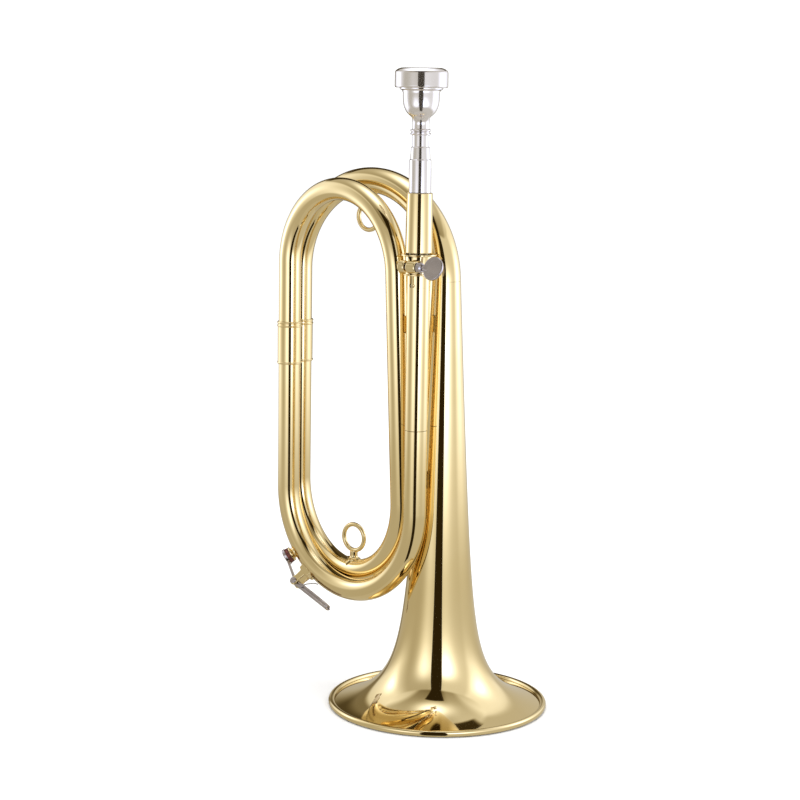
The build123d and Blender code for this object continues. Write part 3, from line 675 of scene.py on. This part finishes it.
def lug(start, length, word):
    """Barrel lug with a web down to the band, bored for the screw."""
    shape = Shape()
    end = start + length
    bore = SCREW_R + 0.05 * mm
    profile = outline([(LUG_R, start, 0.7 * mm), (LUG_R, end, 0.7 * mm), (bore, end, 0.2 * mm),
                       (bore, start, 0.2 * mm)])
    turned(shape, profile, SCREW, 72)
    half = 2.1 * mm
    root, top = SCREW_OFFSET - TUBE_R - 0.2 * mm, 1.6 * mm
    web = [(-half, top, EDGE), (half, top, EDGE), (half, root, EDGE), (-half, root, EDGE)]
    slab(shape, web, start, end, SCREW, 0.3 * mm)
    piece(f"{word}_lug_skin", shape, BRASS, "horn", f"clamp_lug_{word}")


def screw_stem(shape):
    """Ringed thread, collar and neck of the thumb screw; returns the neck's end."""
    tip = -LUG_GAP / 2 - TAPPED_LUG
    collar = LUG_GAP / 2 + PLAIN_LUG + 0.1 * mm
    collar_end = collar + 3.2 * mm
    neck_end = collar_end + 1.6 * mm
    root_r, collar_r, pitch = SCREW_R - 0.16 * mm, 2.75 * mm, 0.4 * mm
    corners = [(SCREW_R - 0.3 * mm, tip, EDGE)]
    z = tip + 0.3 * mm
    while z < collar - 0.3 * mm:
        corners += [(root_r, z, 0.03 * mm), (SCREW_R, z + pitch / 2, 0.04 * mm)]
        z += pitch
    corners += [(root_r, collar, EDGE), (2.2 * mm, collar, EDGE),
                (collar_r, collar + 0.5 * mm, 0.12 * mm),
                (collar_r, collar_end - 0.7 * mm, 0.2 * mm), (2.1 * mm, collar_end, 0.2 * mm),
                (1.5 * mm, collar_end + 0.1 * mm, 0.1 * mm), (1.6 * mm, neck_end, EDGE)]
    solid_turned(shape, corners, SCREW)
    return neck_end


def thumb_screw():
    """Screw with an oval paddle, which a wedge joins to the neck."""
    shape = Shape()
    neck_end = screw_stem(shape)
    centre = Vector((0, 0, neck_end + 4.8 * mm))
    flat = Matrix((Y_AXIS, Z_AXIS, X_AXIS)).to_4x4()
    paddle = SCREW @ Matrix.Translation(centre) @ Matrix.Rotation(radians(-20), 4, "Z") @ flat
    oval = in_mm(*((5.7 * cos(a), 6.2 * sin(a), 0) for a in round_angles(96)))
    slab(shape, oval, -0.8 * mm, 0.8 * mm, paddle, 0.55 * mm, 6)
    wedge = in_mm((-5.9, -1.6, 0.3), (-2.4, -0.5, 0.3), (-2.4, 0.5, 0.3), (-5.9, 1.6, 0.3))
    slab(shape, wedge, -1.5 * mm, 1.5 * mm, paddle @ Matrix.Rotation(pi / 2, 4, "X"), 0.4 * mm)
    piece("thumb_screw_skin", shape, NICKEL, "thumb_screw", "clamp_thumb_screw")


def slide_tube():
    inner_r = SLIDE_R - WALL
    profile = outline([(SLIDE_R, SLIDE_LOW_Z, 0.12 * mm), (SLIDE_R, SLIDE_TOP_Z, 0.1 * mm),
                       (inner_r, SLIDE_TOP_Z, 0.1 * mm), (inner_r, SLIDE_LOW_Z, 0.1 * mm)])
    piece("slide_tube_skin", turned(Shape(), profile, LEAD), BRASS, "tuning_slide",
          "tuning_slide_tube")


def receiver():
    """Tapered socket on the slide's top, a hair above the clamp."""
    low, high = SLEEVE_TOP_Z + 0.6 * mm, RECEIVER_TOP_Z
    throat_r = SHANK_END_R - 0.2 * mm
    profile = outline([(7.0 * mm, low, 0.15 * mm), (6.6 * mm, high, 0.35 * mm),
                       (SHANK_MOUTH_R + 0.04 * mm, high, 0.1 * mm),
                       (throat_r, high - SHANK_DEPTH, 0.1 * mm), (throat_r, SLIDE_TOP_Z, 0.1 * mm),
                       (SLIDE_R, SLIDE_TOP_Z, 0.1 * mm), (SLIDE_R, low, 0.1 * mm)])
    piece("receiver_skin", turned(Shape(), profile, LEAD), BRASS, "tuning_slide",
          "mouthpiece_receiver")


# ---- mouthpiece
def below_rim(*spots):
    """Corners from radii, drops below the rim's top and fillets, in millimetres."""
    return in_mm(*((r, MOUTH_TOP_Z / mm - drop, fillet) for r, drop, fillet in spots))


def smooth_below_rim(*spots, steps=6):
    """Smooth curve through radii and drops below the rim's top, in millimetres."""
    return curve(in_mm(*((r, MOUTH_TOP_Z / mm - drop) for r, drop in spots)), steps)


def mouthpiece():
    """Taper shank, ringed stem, cup and rim, turned in one with the bore."""
    end_drop = (MOUTH_TOP_Z - RECEIVER_TOP_Z + SHANK_DEPTH) / mm
    rim_r, throat_r = RIM_R / mm, THROAT_R / mm
    shank = below_rim((4.25, end_drop, 0.1), (SHANK_END_R / mm, end_drop, 0.25))
    shank += [(SHANK_MOUTH_R, RECEIVER_TOP_Z, 0.05 * mm),
              (SHANK_MOUTH_R, RECEIVER_TOP_Z + 0.1 * mm, 0.05 * mm),
              (5.65 * mm, RECEIVER_TOP_Z + 0.3 * mm, 0.1 * mm)]
    stem = below_rim((5.65, 46.0, 0.25), (5.15, 45.6, 0.3), (4.8, 39.7, 0.5), (4.3, 39.3, 0.4),
                     (4.35, 33.5, 0.4), (5.35, 33.2, 0.25), (5.35, 32.75, 0.25), (4.4, 32.0, 0.3),
                     (5.35, 31.25, 0.25), (5.35, 30.8, 0.25), (4.35, 30.5, 0.4), (4.3, 28.5, 1.0))
    bowl = smooth_below_rim((4.4, 25.1), (5.2, 24.2), (6.8, 22.75), (8.0, 21.0), (8.9, 18.6),
                            (9.3, 15.4), (9.35, 12.4))
    collar = below_rim((9.8, 11.2, 0.5), (10.9, 10.7, 0.3), (11.0, 9.9, 0.2), (13.1, 9.9, 0.5),
                       (rim_r, 9.2, 0.6), (rim_r, 2.3, 1.6))
    lip = smooth_below_rim((13.1, 1.45), (12.2, 0.75), (10.8, 0.15), (9.7, 0.0), (8.9, 0.35),
                           (8.4, 1.1), steps=5)
    cup = smooth_below_rim((7.7, 3.7), (6.6, 7.1), (4.2, 9.9), (2.3, 12.1), (throat_r, 13.9))
    backbore = below_rim((throat_r, 19.5, 2))
    profile = outline(shank + stem + bowl + collar + lip + cup + backbore)
    shape = turned(Shape(), profile, LEAD, 128)
    piece("mouthpiece_skin", shape, SILVER, "mouthpiece", "mouthpiece")


# ---- cord rings
def cord_ring(bow, ring_z, word):
    """Closed ring of round wire, upright and turned a little."""
    y = bow_point(bow, bow_t_at_ring(bow)).y
    turn = Matrix.Rotation(RING_TURN, 4, "Z") @ Matrix.Rotation(pi / 2, 4, "X")
    place = Matrix.Translation((RING_X, y, ring_z)) @ turn
    profile = [(RING_R + RING_WIRE_R * cos(a), RING_WIRE_R * sin(a), cos(a), sin(a))
               for a in round_angles(28)]
    piece(f"{word}_ring_skin", turned(Shape(), profile, place), BRASS, "horn", f"cord_ring_{word}")


def pointed_leaf(shape, bow, t, side, tube_r):
    """Four-pointed leaf curved over a bow, thin and a little lifted at its rim."""
    reach = hypot(*(bow_point(bow, t + 1e-3) - bow_point(bow, t)).xz) / 1e-3
    rows, across = 28, 16
    loops = []
    for i in range(rows + 1):
        s = 0.995 * (2 * i / rows - 1)
        here = bow_point(bow, t + s * LEAF_HALF / reach)
        ahead = (bow_point(bow, t + s * LEAF_HALF / reach + 1e-4) - here).normalized()
        out = (Vector((0, 0, side)) - ahead * side * ahead.z).normalized()
        over = ahead.cross(out)
        wide = LEAF_HALF * (0.22 * (1 - s * s) + 0.78 * (1 - abs(s)) ** 4)
        loop = []
        for layer in (1, -1):
            for j in range(across + 1):
                u = layer * (2 * j / across - 1)
                rim = max(abs(u) ** 3, s**4)
                top = LEAF_THICK * sqrt((1 - s**6) * (1 - u**6)) + 0.3 * mm * rim
                lift = top if layer > 0 else (0.5 * rim - 0.25) * mm
                radial = out * cos(u * wide / tube_r) + over * sin(u * wide / tube_r)
                loop.append((here + radial * (tube_r + lift), radial))
        loops.append(loop)
    shape.add(loops)


def ring_foot(bow, ring_z, word, tube_r):
    """Pointed leaf soldered to a bow, with the flared post that carries the cord ring."""
    t = bow_t_at_ring(bow)
    middle = bow_point(bow, t)
    side = 1 if ring_z > middle.z else -1
    shape = Shape()
    pointed_leaf(shape, bow, t, side, tube_r)
    base = middle.z * side + tube_r
    tip = ring_z * side - RING_R + 0.3 * mm
    neck = 2.15 * mm
    corners = [(3.8 * mm, base - 0.8 * mm, EDGE)]
    corners += curve([(3.7 * mm, base + 0.3 * mm), (2.7 * mm, base + 0.95 * mm),
                      (neck, base + 1.9 * mm), (neck, tip - 1.6 * mm)], 4)
    corners += [(neck + 0.1 * mm, tip - 0.9 * mm, 0.5 * mm), (1.3 * mm, tip - 0.2 * mm, 0.5 * mm)]
    solid_turned(shape, corners, placed((RING_X, middle.y, 0), Z_AXIS * side))
    piece(f"{word}_foot_skin", shape, BRASS, "horn", f"cord_ring_{word}_foot", exact=False)


def cord_rings():
    grown = TUBE_R + (STEM_TOP_R - TUBE_R) * bow_t_at_ring(REAR_TOP) ** REAR_BOW_GROWTH
    for word, bow, ring_z, tube_r in (("low", INNER_BOTTOM, RING_LOW_Z, TUBE_R),
                                      ("high", REAR_TOP, RING_HIGH_Z, grown)):
        cord_ring(bow, ring_z, word)
        ring_foot(bow, ring_z, word, tube_r)


# ---- water key
BOW_CENTRE = Vector(((LEAD_X + LEFT_FRONT_X) / 2, FRONT_Y, OUTER_BOTTOM_Z))
BOW_R = (LEAD_X - LEFT_FRONT_X) / 2


def key_frame(angle, height):
    """Frame on the outer bow: z out of the tube, x along it, y across."""
    outward = Vector((cos(angle), 0, sin(angle)))
    along = Vector((-sin(angle), 0, cos(angle)))
    normal = outward * cos(KEY_ROLL) - Y_AXIS * sin(KEY_ROLL)
    return placed(BOW_CENTRE + outward * BOW_R + normal * (TUBE_R + height), normal, along)


PIVOT = key_frame(PIVOT_ANGLE, PIVOT_HEIGHT)
TOUCH = PIVOT @ Matrix.Rotation(TOUCH_PITCH, 4, "Y")
ON_EDGE = Matrix.Rotation(-pi / 2, 4, "X")
ACROSS = PIVOT @ ON_EDGE
NIPPLE = key_frame(NIPPLE_ANGLE, 0)
SEAT_TOP = NIPPLE_HEIGHT + SEAT_THICK
CORK_LOW = SEAT_TOP + 0.05 * mm
CUP_SHIFT = CORK_LOW + CORK_THICK
EAR_OUT = BARREL_HALF + EAR_GAP + EAR


def water_nipple():
    """Drain seat under the cork, with its hole."""
    drain_r, sunk = 1.4 * mm, -1.3 * mm
    corners = [(NIPPLE_R + 0.9 * mm, sunk, 0), (NIPPLE_R + 0.5 * mm, 0, 0.5 * mm),
               (NIPPLE_R, NIPPLE_HEIGHT, 0.2 * mm), (SEAT_R, NIPPLE_HEIGHT, 0.2 * mm),
               (SEAT_R, SEAT_TOP, 0.3 * mm), (drain_r + 0.5 * mm, SEAT_TOP, 0.2 * mm),
               (drain_r, SEAT_TOP - 0.4 * mm, 0.1 * mm), (drain_r, sunk, 0)]
    piece("nipple_skin", turned(Shape(), outline(corners), NIPPLE, 72), BRASS, "horn",
          "water_nipple")


def key_saddle():
    """Two waisted ears that hold the hinge, on a block on the tube."""
    shape = Shape()
    height = PIVOT_HEIGHT / mm
    ear = in_mm((-2.1, -2.1, 2.0), (2.1, -2.1, 2.0), (2.1, 1.4, 1.6), (1.85, 3.4, 2.0),
                (2.4, height + 1.2, 0.4), (-2.4, height + 1.2, 0.4), (-1.85, 3.4, 2.0),
                (-2.1, 1.4, 1.6))
    for side in (-1, 1):
        low, high = sorted((side * (EAR_OUT - EAR), side * EAR_OUT))
        slab(shape, ear, low, high, ACROSS, 0.55 * mm, 6)
    base = in_mm((-3.6, height - 1.2, 0.5), (-1.5, height - 1.8, 0.6), (1.5, height - 1.8, 0.6),
                 (3.6, height - 1.2, 0.5), (4.1, height + 1.6, 0.3), (-4.1, height + 1.6, 0.3))
    half = EAR_OUT + 0.2 * mm
    slab(shape, base, -half, half, ACROSS, 0.35 * mm)
    piece("key_saddle_skin", shape, BRASS, "horn", "water_key_saddle")


def hinge_screw():
    """Pin through the ears, with a domed head and a nut."""
    head_r, nut_r = 1.6 * mm, 1.8 * mm
    pin = [(PIN_R, -EAR_OUT - 1.4 * mm, 0.25 * mm), (PIN_R, -EAR_OUT - 1.0 * mm, 0.05 * mm),
           (nut_r, -EAR_OUT - 0.9 * mm, 0.4 * mm), (nut_r, -EAR_OUT, 0.1 * mm),
           (PIN_R, -EAR_OUT, 0.1 * mm), (PIN_R, EAR_OUT, EDGE), (head_r, EAR_OUT, 0.1 * mm),
           (head_r, EAR_OUT + 0.8 * mm, 0.35 * mm)]
    shape = solid_turned(Shape(), pin, ACROSS @ Matrix.Rotation(pi, 4, "X"), 48)
    piece("hinge_screw_skin", shape, NICKEL, "horn", "water_key_hinge_screw")


def key_touch(shape):
    """Finger touch: a plate between two webs edged with round bars, and a stud across."""
    half = TOUCH_WIDTH / 2
    tip = TOUCH_LENGTH - half
    plate = [(1.0 * mm, -1.3 * mm, 0.4 * mm), (8.0 * mm, -half, 4 * mm), (tip, -half, 0.5 * mm)]
    plate += [(tip + half * cos(a), half * sin(a), 0)
              for a in [pi * (i / 16 - 0.5) for i in range(1, 16)]]
    plate += [(tip, half, 0.5 * mm), (8.0 * mm, half, 4 * mm), (1.0 * mm, 1.3 * mm, 0.4 * mm)]
    slab(shape, plate, 0.5 * mm, 1.5 * mm, TOUCH, 0.45 * mm, 5)
    on_edge = TOUCH @ ON_EDGE
    end = tip / mm + 1.6
    web = in_mm((0.6, -1.3, 0.6), (end, -1.4, 0.6), (end + 0.5, 0.2, 0.7), (end - 1.5, 1.2, 1.5),
                (9.0, 1.5, 6), (1.5, 0.8, 0.5))
    upper = in_mm((1.0, -0.6), (7.0, -0.65), (end - 1.4, -0.6), (end - 0.1, 0.1))
    lower = in_mm((1.6, 0.7), (9.0, 1.0), (end - 1.8, 0.85), (end - 0.1, 0.1))
    for side in (-1, 1):
        middle = side * (half - 0.6 * mm)
        slab(shape, web, middle - 0.3 * mm, middle + 0.3 * mm, on_edge, 0.25 * mm)
        for route, bar_r in ((upper, 0.78 * mm), (lower, 0.64 * mm)):
            wire(shape, [on_edge @ Vector((x, y, middle)) for x, y, _ in curve(route)], bar_r)
    stud = [(1.1 * mm, -half - 0.4 * mm, 0.3 * mm), (1.1 * mm, half + 0.4 * mm, 0.3 * mm)]
    solid_turned(shape, stud, on_edge @ Matrix.Translation((5.5 * mm, 0.6 * mm, 0)), 32)


def key_arm(shape):
    """Flat arm from the hinge to the middle of the cork's cup."""
    cup_centre = PIVOT.inverted() @ (NIPPLE @ Vector((0, 0, CUP_SHIFT + CUP_BACK / 2)))
    reach = hypot(cup_centre.x, cup_centre.z)
    arm = PIVOT @ Matrix.Rotation(asin(cup_centre.z / reach), 4, "Y")
    tip, root = -reach + 0.6 * mm, -1.0 * mm
    plan = [(tip, -1.1 * mm, 0.5 * mm), (root, -1.3 * mm, 0.2 * mm), (root, 1.3 * mm, 0.2 * mm),
            (tip, 1.1 * mm, 0.5 * mm)]
    slab(shape, plan, -0.55 * mm, 0.55 * mm, arm, 0.25 * mm)


def key_lever():
    """Rocker on the hinge: its barrel, its finger touch and the arm to the cork."""
    shape = Shape()
    pin_bore = PIN_R + 0.05 * mm
    barrel = outline([(BARREL_R, -BARREL_HALF, 0.2 * mm), (BARREL_R, BARREL_HALF, 0.2 * mm),
                      (pin_bore, BARREL_HALF, 0.1 * mm), (pin_bore, -BARREL_HALF, 0.1 * mm)])
    turned(shape, barrel, ACROSS, 48)
    key_touch(shape)
    key_arm(shape)
    piece("key_lever_skin", shape, NICKEL, "water_key", "water_key_lever")


def cork_and_cup():
    """Shallow cup with the cork that it presses on the seat."""
    low, high, centre_r = CUP_SHIFT - CUP_LIP, CUP_SHIFT + CUP_BACK, 0.05 * mm
    corners = [(CUP_R, low, 0.12 * mm), (CUP_R, high, 0.55 * mm), (centre_r, high, EDGE),
               (centre_r, CUP_SHIFT, EDGE), (CORK_R, CUP_SHIFT, 0.2 * mm), (CORK_R, low, 0.1 * mm)]
    piece("cork_cup_skin", turned(Shape(), outline(corners), NIPPLE, 72), NICKEL, "water_key",
          "water_key_cork_cup")
    side_r = CORK_R - 0.02 * mm
    corners = [(CORK_R - 0.1 * mm, CORK_LOW, 0.3 * mm), (side_r, CORK_LOW + 1.2 * mm, 1 * mm),
               (side_r, CUP_SHIFT - 0.02 * mm, 0.05 * mm)]
    piece("cork_skin", solid_turned(Shape(), corners, NIPPLE), CORK, "water_key",
          "water_key_cork")


def key_spring():
    """Coil beside the saddle on the hinge's line, with one tail down to the tube."""
    turns, steps = 3.4, 26
    coil_r, wire_r = 1.3 * mm, 0.3 * mm
    pitch = 1.86 * wire_r
    start_y = -EAR_OUT - 0.45 * mm
    points = [PIVOT @ Vector((7.6 * mm, start_y + 0.2 * mm, -PIVOT_HEIGHT + 0.1 * mm)),
              PIVOT @ Vector((5.6 * mm, start_y - 0.1 * mm, -PIVOT_HEIGHT * 0.86)),
              PIVOT @ Vector((2.6 * mm, start_y - 0.2 * mm, -PIVOT_HEIGHT * 0.42))]
    for i in range(int(turns * steps) + 1):
        angle = 2 * pi * i / steps - 0.3
        points.append(PIVOT @ Vector((coil_r * cos(angle), start_y - pitch * i / steps,
                                      coil_r * sin(angle))))
    shape = wire(Shape(), points, wire_r)
    piece("key_spring_skin", shape, STEEL, "horn", "water_key_spring")


# ---- soldered stays
def stay(name, node_name, start, end, end_r=TUBE_R, shift=0):
    """Waisted brace from one tube to the next, moved aside by shift."""
    gap = end - start
    place = placed(start, Z_AXIS, gap)
    low, high = TUBE_R - 1.2 * mm, gap.length - end_r + 1.2 * mm
    half, waist = 2.2 * mm, 1.5 * mm
    middle = (low + high) / 2
    plan = [(low, -half + shift, 0.2 * mm), (middle, -waist + shift, 3 * mm),
            (high, -half + shift, 0.2 * mm), (high, half + shift, 0.2 * mm),
            (middle, waist + shift, 3 * mm), (low, half + shift, 0.2 * mm)]
    shape = slab(Shape(), plan, -4.5 * mm, 4.5 * mm, place, 0.5 * mm)
    piece(name, shape, BRASS, "horn", node_name)


def stays():
    def middle_at(z):
        return Vector((MIDDLE_X, MIDDLE_TOP_Y + MIDDLE_SLOPE * (FRONT_TOP_Z - z), z))

    for word, z in (("high", 206 * mm), ("low", 124 * mm)):
        stay(f"stay_lead_{word}_skin", f"stay_lead_middle_{word}", Vector((LEAD_X, FRONT_Y, z)),
             middle_at(z), shift=-3.2 * mm)
    for word, z in (("high", 222 * mm), ("low", 128 * mm)):
        stay(f"stay_left_{word}_skin", f"stay_left_{word}", Vector((LEFT_FRONT_X, FRONT_Y, z)),
             Vector((LEFT_REAR_X, LEFT_REAR_Y, z)))
    z = 136 * mm
    stay("stay_bell_skin", "stay_middle_bell", middle_at(z), Z_AXIS * z, bell_radius(z))


# ---- light tent, floor and camera
CAMERA_AT = Vector((703.9, -724.4, 320.6)) * mm
CAMERA_WAY = Vector((-0.7043, 0.6934, -0.1524))
CAMERA_UP = Vector((-0.1191, 0.0962, 0.9882))
CAMERA_LENS = 87.4
TENT_X, TENT_Y = -45 * mm, -12 * mm
TENT_R = 400 * mm
TENT_LOW, TENT_HIGH = -400 * mm, 490 * mm
FRONT = atan2(CAMERA_AT.y - TENT_Y, CAMERA_AT.x - TENT_X)
# Bright spots on the wall: azimuth in degrees, height in millimetres, two widths, power.
SOFT_BOXES = ((-29, 170, 13, 85, 1.0), (21, 175, 15, 62, 1.65),
              (-112, 255, 9, 78, 1.0), (95, 250, 12, 82, 1.1))
# The opening's dark slot, in millimetres, and the brightness at which cloth is white.
SLOT_HALF, SLOT_SHIFT, SLOT_LIGHT = 86, 7, 0.025
WHITE_LIGHT = 0.71


def step_up(value, edge, soft):
    """0 below an edge and 1 above it, softly."""
    t = min(max((value - edge) / soft + 0.5, 0), 1)
    return t * t * (3 - 2 * t)


def window(value, low, high, soft):
    """1 between two edges and 0 outside them, softly."""
    return step_up(value, low, soft) * (1 - step_up(value, high, soft))


def hump(across, up):
    """Soft bright spot, 1 at its middle; both distances are in its own widths."""
    return exp(-(across**2 + up**2) / 2)


def mixed(old, new, share):
    return old + (new - old) * share


def wall_light(azimuth, z):
    """Brightness of the tent's wall; azimuth in degrees from the opening, z in millimetres."""
    high = step_up(z, 60, 110)
    light = 0.5 + (0.08 + 0.2 * high) * step_up(azimuth, 0, 50)
    light += 0.5 * high * (window(azimuth, -152, -88, 44) + 0.5 * window(azimuth, 72, 136, 16))
    for centre, height, wide, tall, power in SOFT_BOXES:
        light += power * hump((azimuth - centre) / wide, (z - height) / tall)
    right_rear, left_rear, middle_rear = 0.58, 0.22, 0.08 + 0.42 * (1 - step_up(z, 110, 150))
    light = mixed(light, right_rear, step_up(azimuth, 138, 8))
    light = mixed(light, left_rear, step_up(-azimuth, 151, 6))
    light = mixed(light, middle_rear, step_up(abs(azimuth), 161, 5))
    if abs(azimuth) >= 90:
        return light
    aside = abs(TENT_R / mm * sin(radians(azimuth)) - SLOT_SHIFT)
    return mixed(light, SLOT_LIGHT, step_up(-aside, -SLOT_HALF, 6))


def ceiling_light(x, y):
    """Brightness of the tent's ceiling; x towards the opening and y across, in millimetres."""
    rim = step_up(abs(y), 255, 90)
    light = 0.42 - 0.0006 * x + (0.42 - 0.0004 * x) * rim + 0.13 * window(y, 120, 240, 70)
    light += 1.6 * hump((x - 8) / 72, (y - 15) / 70)
    wall = wall_light(degrees(atan2(y, x)), TENT_HIGH / mm)
    light = mixed(light, wall, step_up(hypot(x, y), 375, 50))
    dark_back = 0.04
    light = mixed(light, dark_back, step_up(-x, 222, 36) * step_up(-abs(y), -200, 30))
    half = 98 - 20 * min(max((x - 128) / 270, 0), 1)
    slot = step_up(x, 160, 14) * step_up(-abs(y - SLOT_SHIFT), -half, 14)
    return mixed(light, SLOT_LIGHT, slot)


def cloth_colour(light):
    """Warmer where the cloth is dim, and paler where it is bright."""
    dim = min(max(light, 0.001) / WHITE_LIGHT, 1)
    glare = max(light - WHITE_LIGHT, 0)
    green = light * dim**0.12 * (1 + 0.1 * glare)
    blue = light * dim**0.45 * (1 + 0.4 * glare)
    return (light, green, blue, 1)


def cloth_material():
    """Cloth that shines with its mesh's own glow colours."""
    material, tree, _ = blank_material("tent_cloth")
    tree.nodes.clear()
    glow = node(tree, "ShaderNodeAttribute", attribute_name="glow")
    emission = node(tree, "ShaderNodeEmission")
    output = node(tree, "ShaderNodeOutputMaterial")
    tree.links.new(glow.outputs["Color"], emission.inputs["Color"])
    tree.links.new(emission.outputs["Emission"], output.inputs["Surface"])
    material.cycles.emission_sampling = "NONE"
    return material


def tent():
    """Closed cloth light tent that only reflections see."""
    points, lights, faces = [], [], []
    turns = 360

    def add_sheet(rings, light_at):
        """Joins rings of (radius, z); light_at takes azimuth, radius and z."""
        start = len(points)
        for radius, z in rings:
            for azimuth in range(-180, 180):
                out = spoke(FRONT + radians(azimuth)) * radius
                points.append((TENT_X + out.x, TENT_Y + out.y, z))
                lights.append(light_at(azimuth, radius, z))
        for a in range(start, len(points) - turns, turns):
            for j in range(turns):
                k = (j + 1) % turns
                faces.append((a + j, a + k, a + turns + k, a + turns + j))

    def ceiling(azimuth, radius, z):
        x, y, _ = spoke(radians(azimuth)) * (radius / mm)
        return ceiling_light(x, y)

    height = TENT_HIGH - TENT_LOW
    inward = [TENT_R * (1 - i / 60) + 0.1 * mm for i in range(61)]
    add_sheet([(TENT_R, TENT_LOW + height * i / 90) for i in range(91)],
              lambda azimuth, radius, z: wall_light(azimuth, z / mm))
    add_sheet([(radius, TENT_LOW) for radius in inward], lambda azimuth, radius, z: 0.55)
    add_sheet([(radius, TENT_HIGH) for radius in inward], ceiling)
    mesh = bpy.data.meshes.new("light_tent")
    mesh.from_pydata(points, [], faces)
    glow = mesh.color_attributes.new("glow", "FLOAT_COLOR", "POINT")
    for entry, light in zip(glow.data, lights):
        entry.color = cloth_colour(light)
    mesh.materials.append(cloth_material())
    obj = put_in_scene("light_tent", mesh)
    for sight in ("camera", "diffuse", "transmission", "shadow"):
        setattr(obj, f"visible_{sight}", False)


def floor():
    half = 6
    mesh = bpy.data.meshes.new("floor")
    corners = [(-half, -half, 0), (half, -half, 0), (half, half, 0), (-half, half, 0)]
    mesh.from_pydata(corners, [], [(0, 1, 2, 3)])
    material, tree, shader = blank_material("pale_floor")
    weave = noise(tree, 14, 3)
    tree.links.new(ramp(tree, weave, [(0.3, (0.86, 0.86, 0.86)), (0.7, (0.88, 0.88, 0.88))]),
                   shader.inputs["Base Color"])
    shader.inputs["Roughness"].default_value = 1
    shader.inputs["Specular IOR Level"].default_value = 0
    mesh.materials.append(material)
    obj = put_in_scene("floor", mesh)
    obj.location.z = -0.05 * mm
    obj.visible_glossy = False


def soft_light():
    """Even white surroundings and one large lamp overhead."""
    world = bpy.data.worlds.new("studio")
    SCENE.world = world
    world.use_nodes = True
    backdrop = world.node_tree.nodes["Background"]
    backdrop.inputs["Color"].default_value = (1, 1, 1, 1)
    backdrop.inputs["Strength"].default_value = 1.2
    light = bpy.data.lights.new("overhead", "AREA")
    light.shape = "DISK"
    light.size = 1.2
    light.energy = 9
    lamp = put_in_scene("overhead", light)
    lamp.location = (-0.2, 0.1, 1.6)
    lamp.visible_glossy = False


def camera():
    lens = bpy.data.cameras.new("camera")
    lens.lens = CAMERA_LENS
    lens.sensor_width = 36
    lens.clip_start = 0.05
    right = CAMERA_WAY.cross(CAMERA_UP).normalized()
    up = right.cross(CAMERA_WAY).normalized()
    turn = Matrix((right, up, -CAMERA_WAY.normalized())).transposed().to_4x4()
    obj = put_in_scene("camera", lens)
    obj.matrix_world = Matrix.Translation(CAMERA_AT) @ turn
    SCENE.camera = obj
    SCENE.view_settings.view_transform = "Standard"


coils()
ferrules()
bell()
rim_bead()
sleeve()
clamp_band()
lug(-LUG_GAP / 2 - TAPPED_LUG, TAPPED_LUG, "tapped")
lug(LUG_GAP / 2, PLAIN_LUG, "plain")
thumb_screw()
slide_tube()
receiver()
mouthpiece()
cord_rings()
water_nipple()
key_saddle()
hinge_screw()
key_lever()
cork_and_cup()
key_spring()
stays()
tent()
floor()
soft_light()
camera()

bpy.context.view_layer.update()
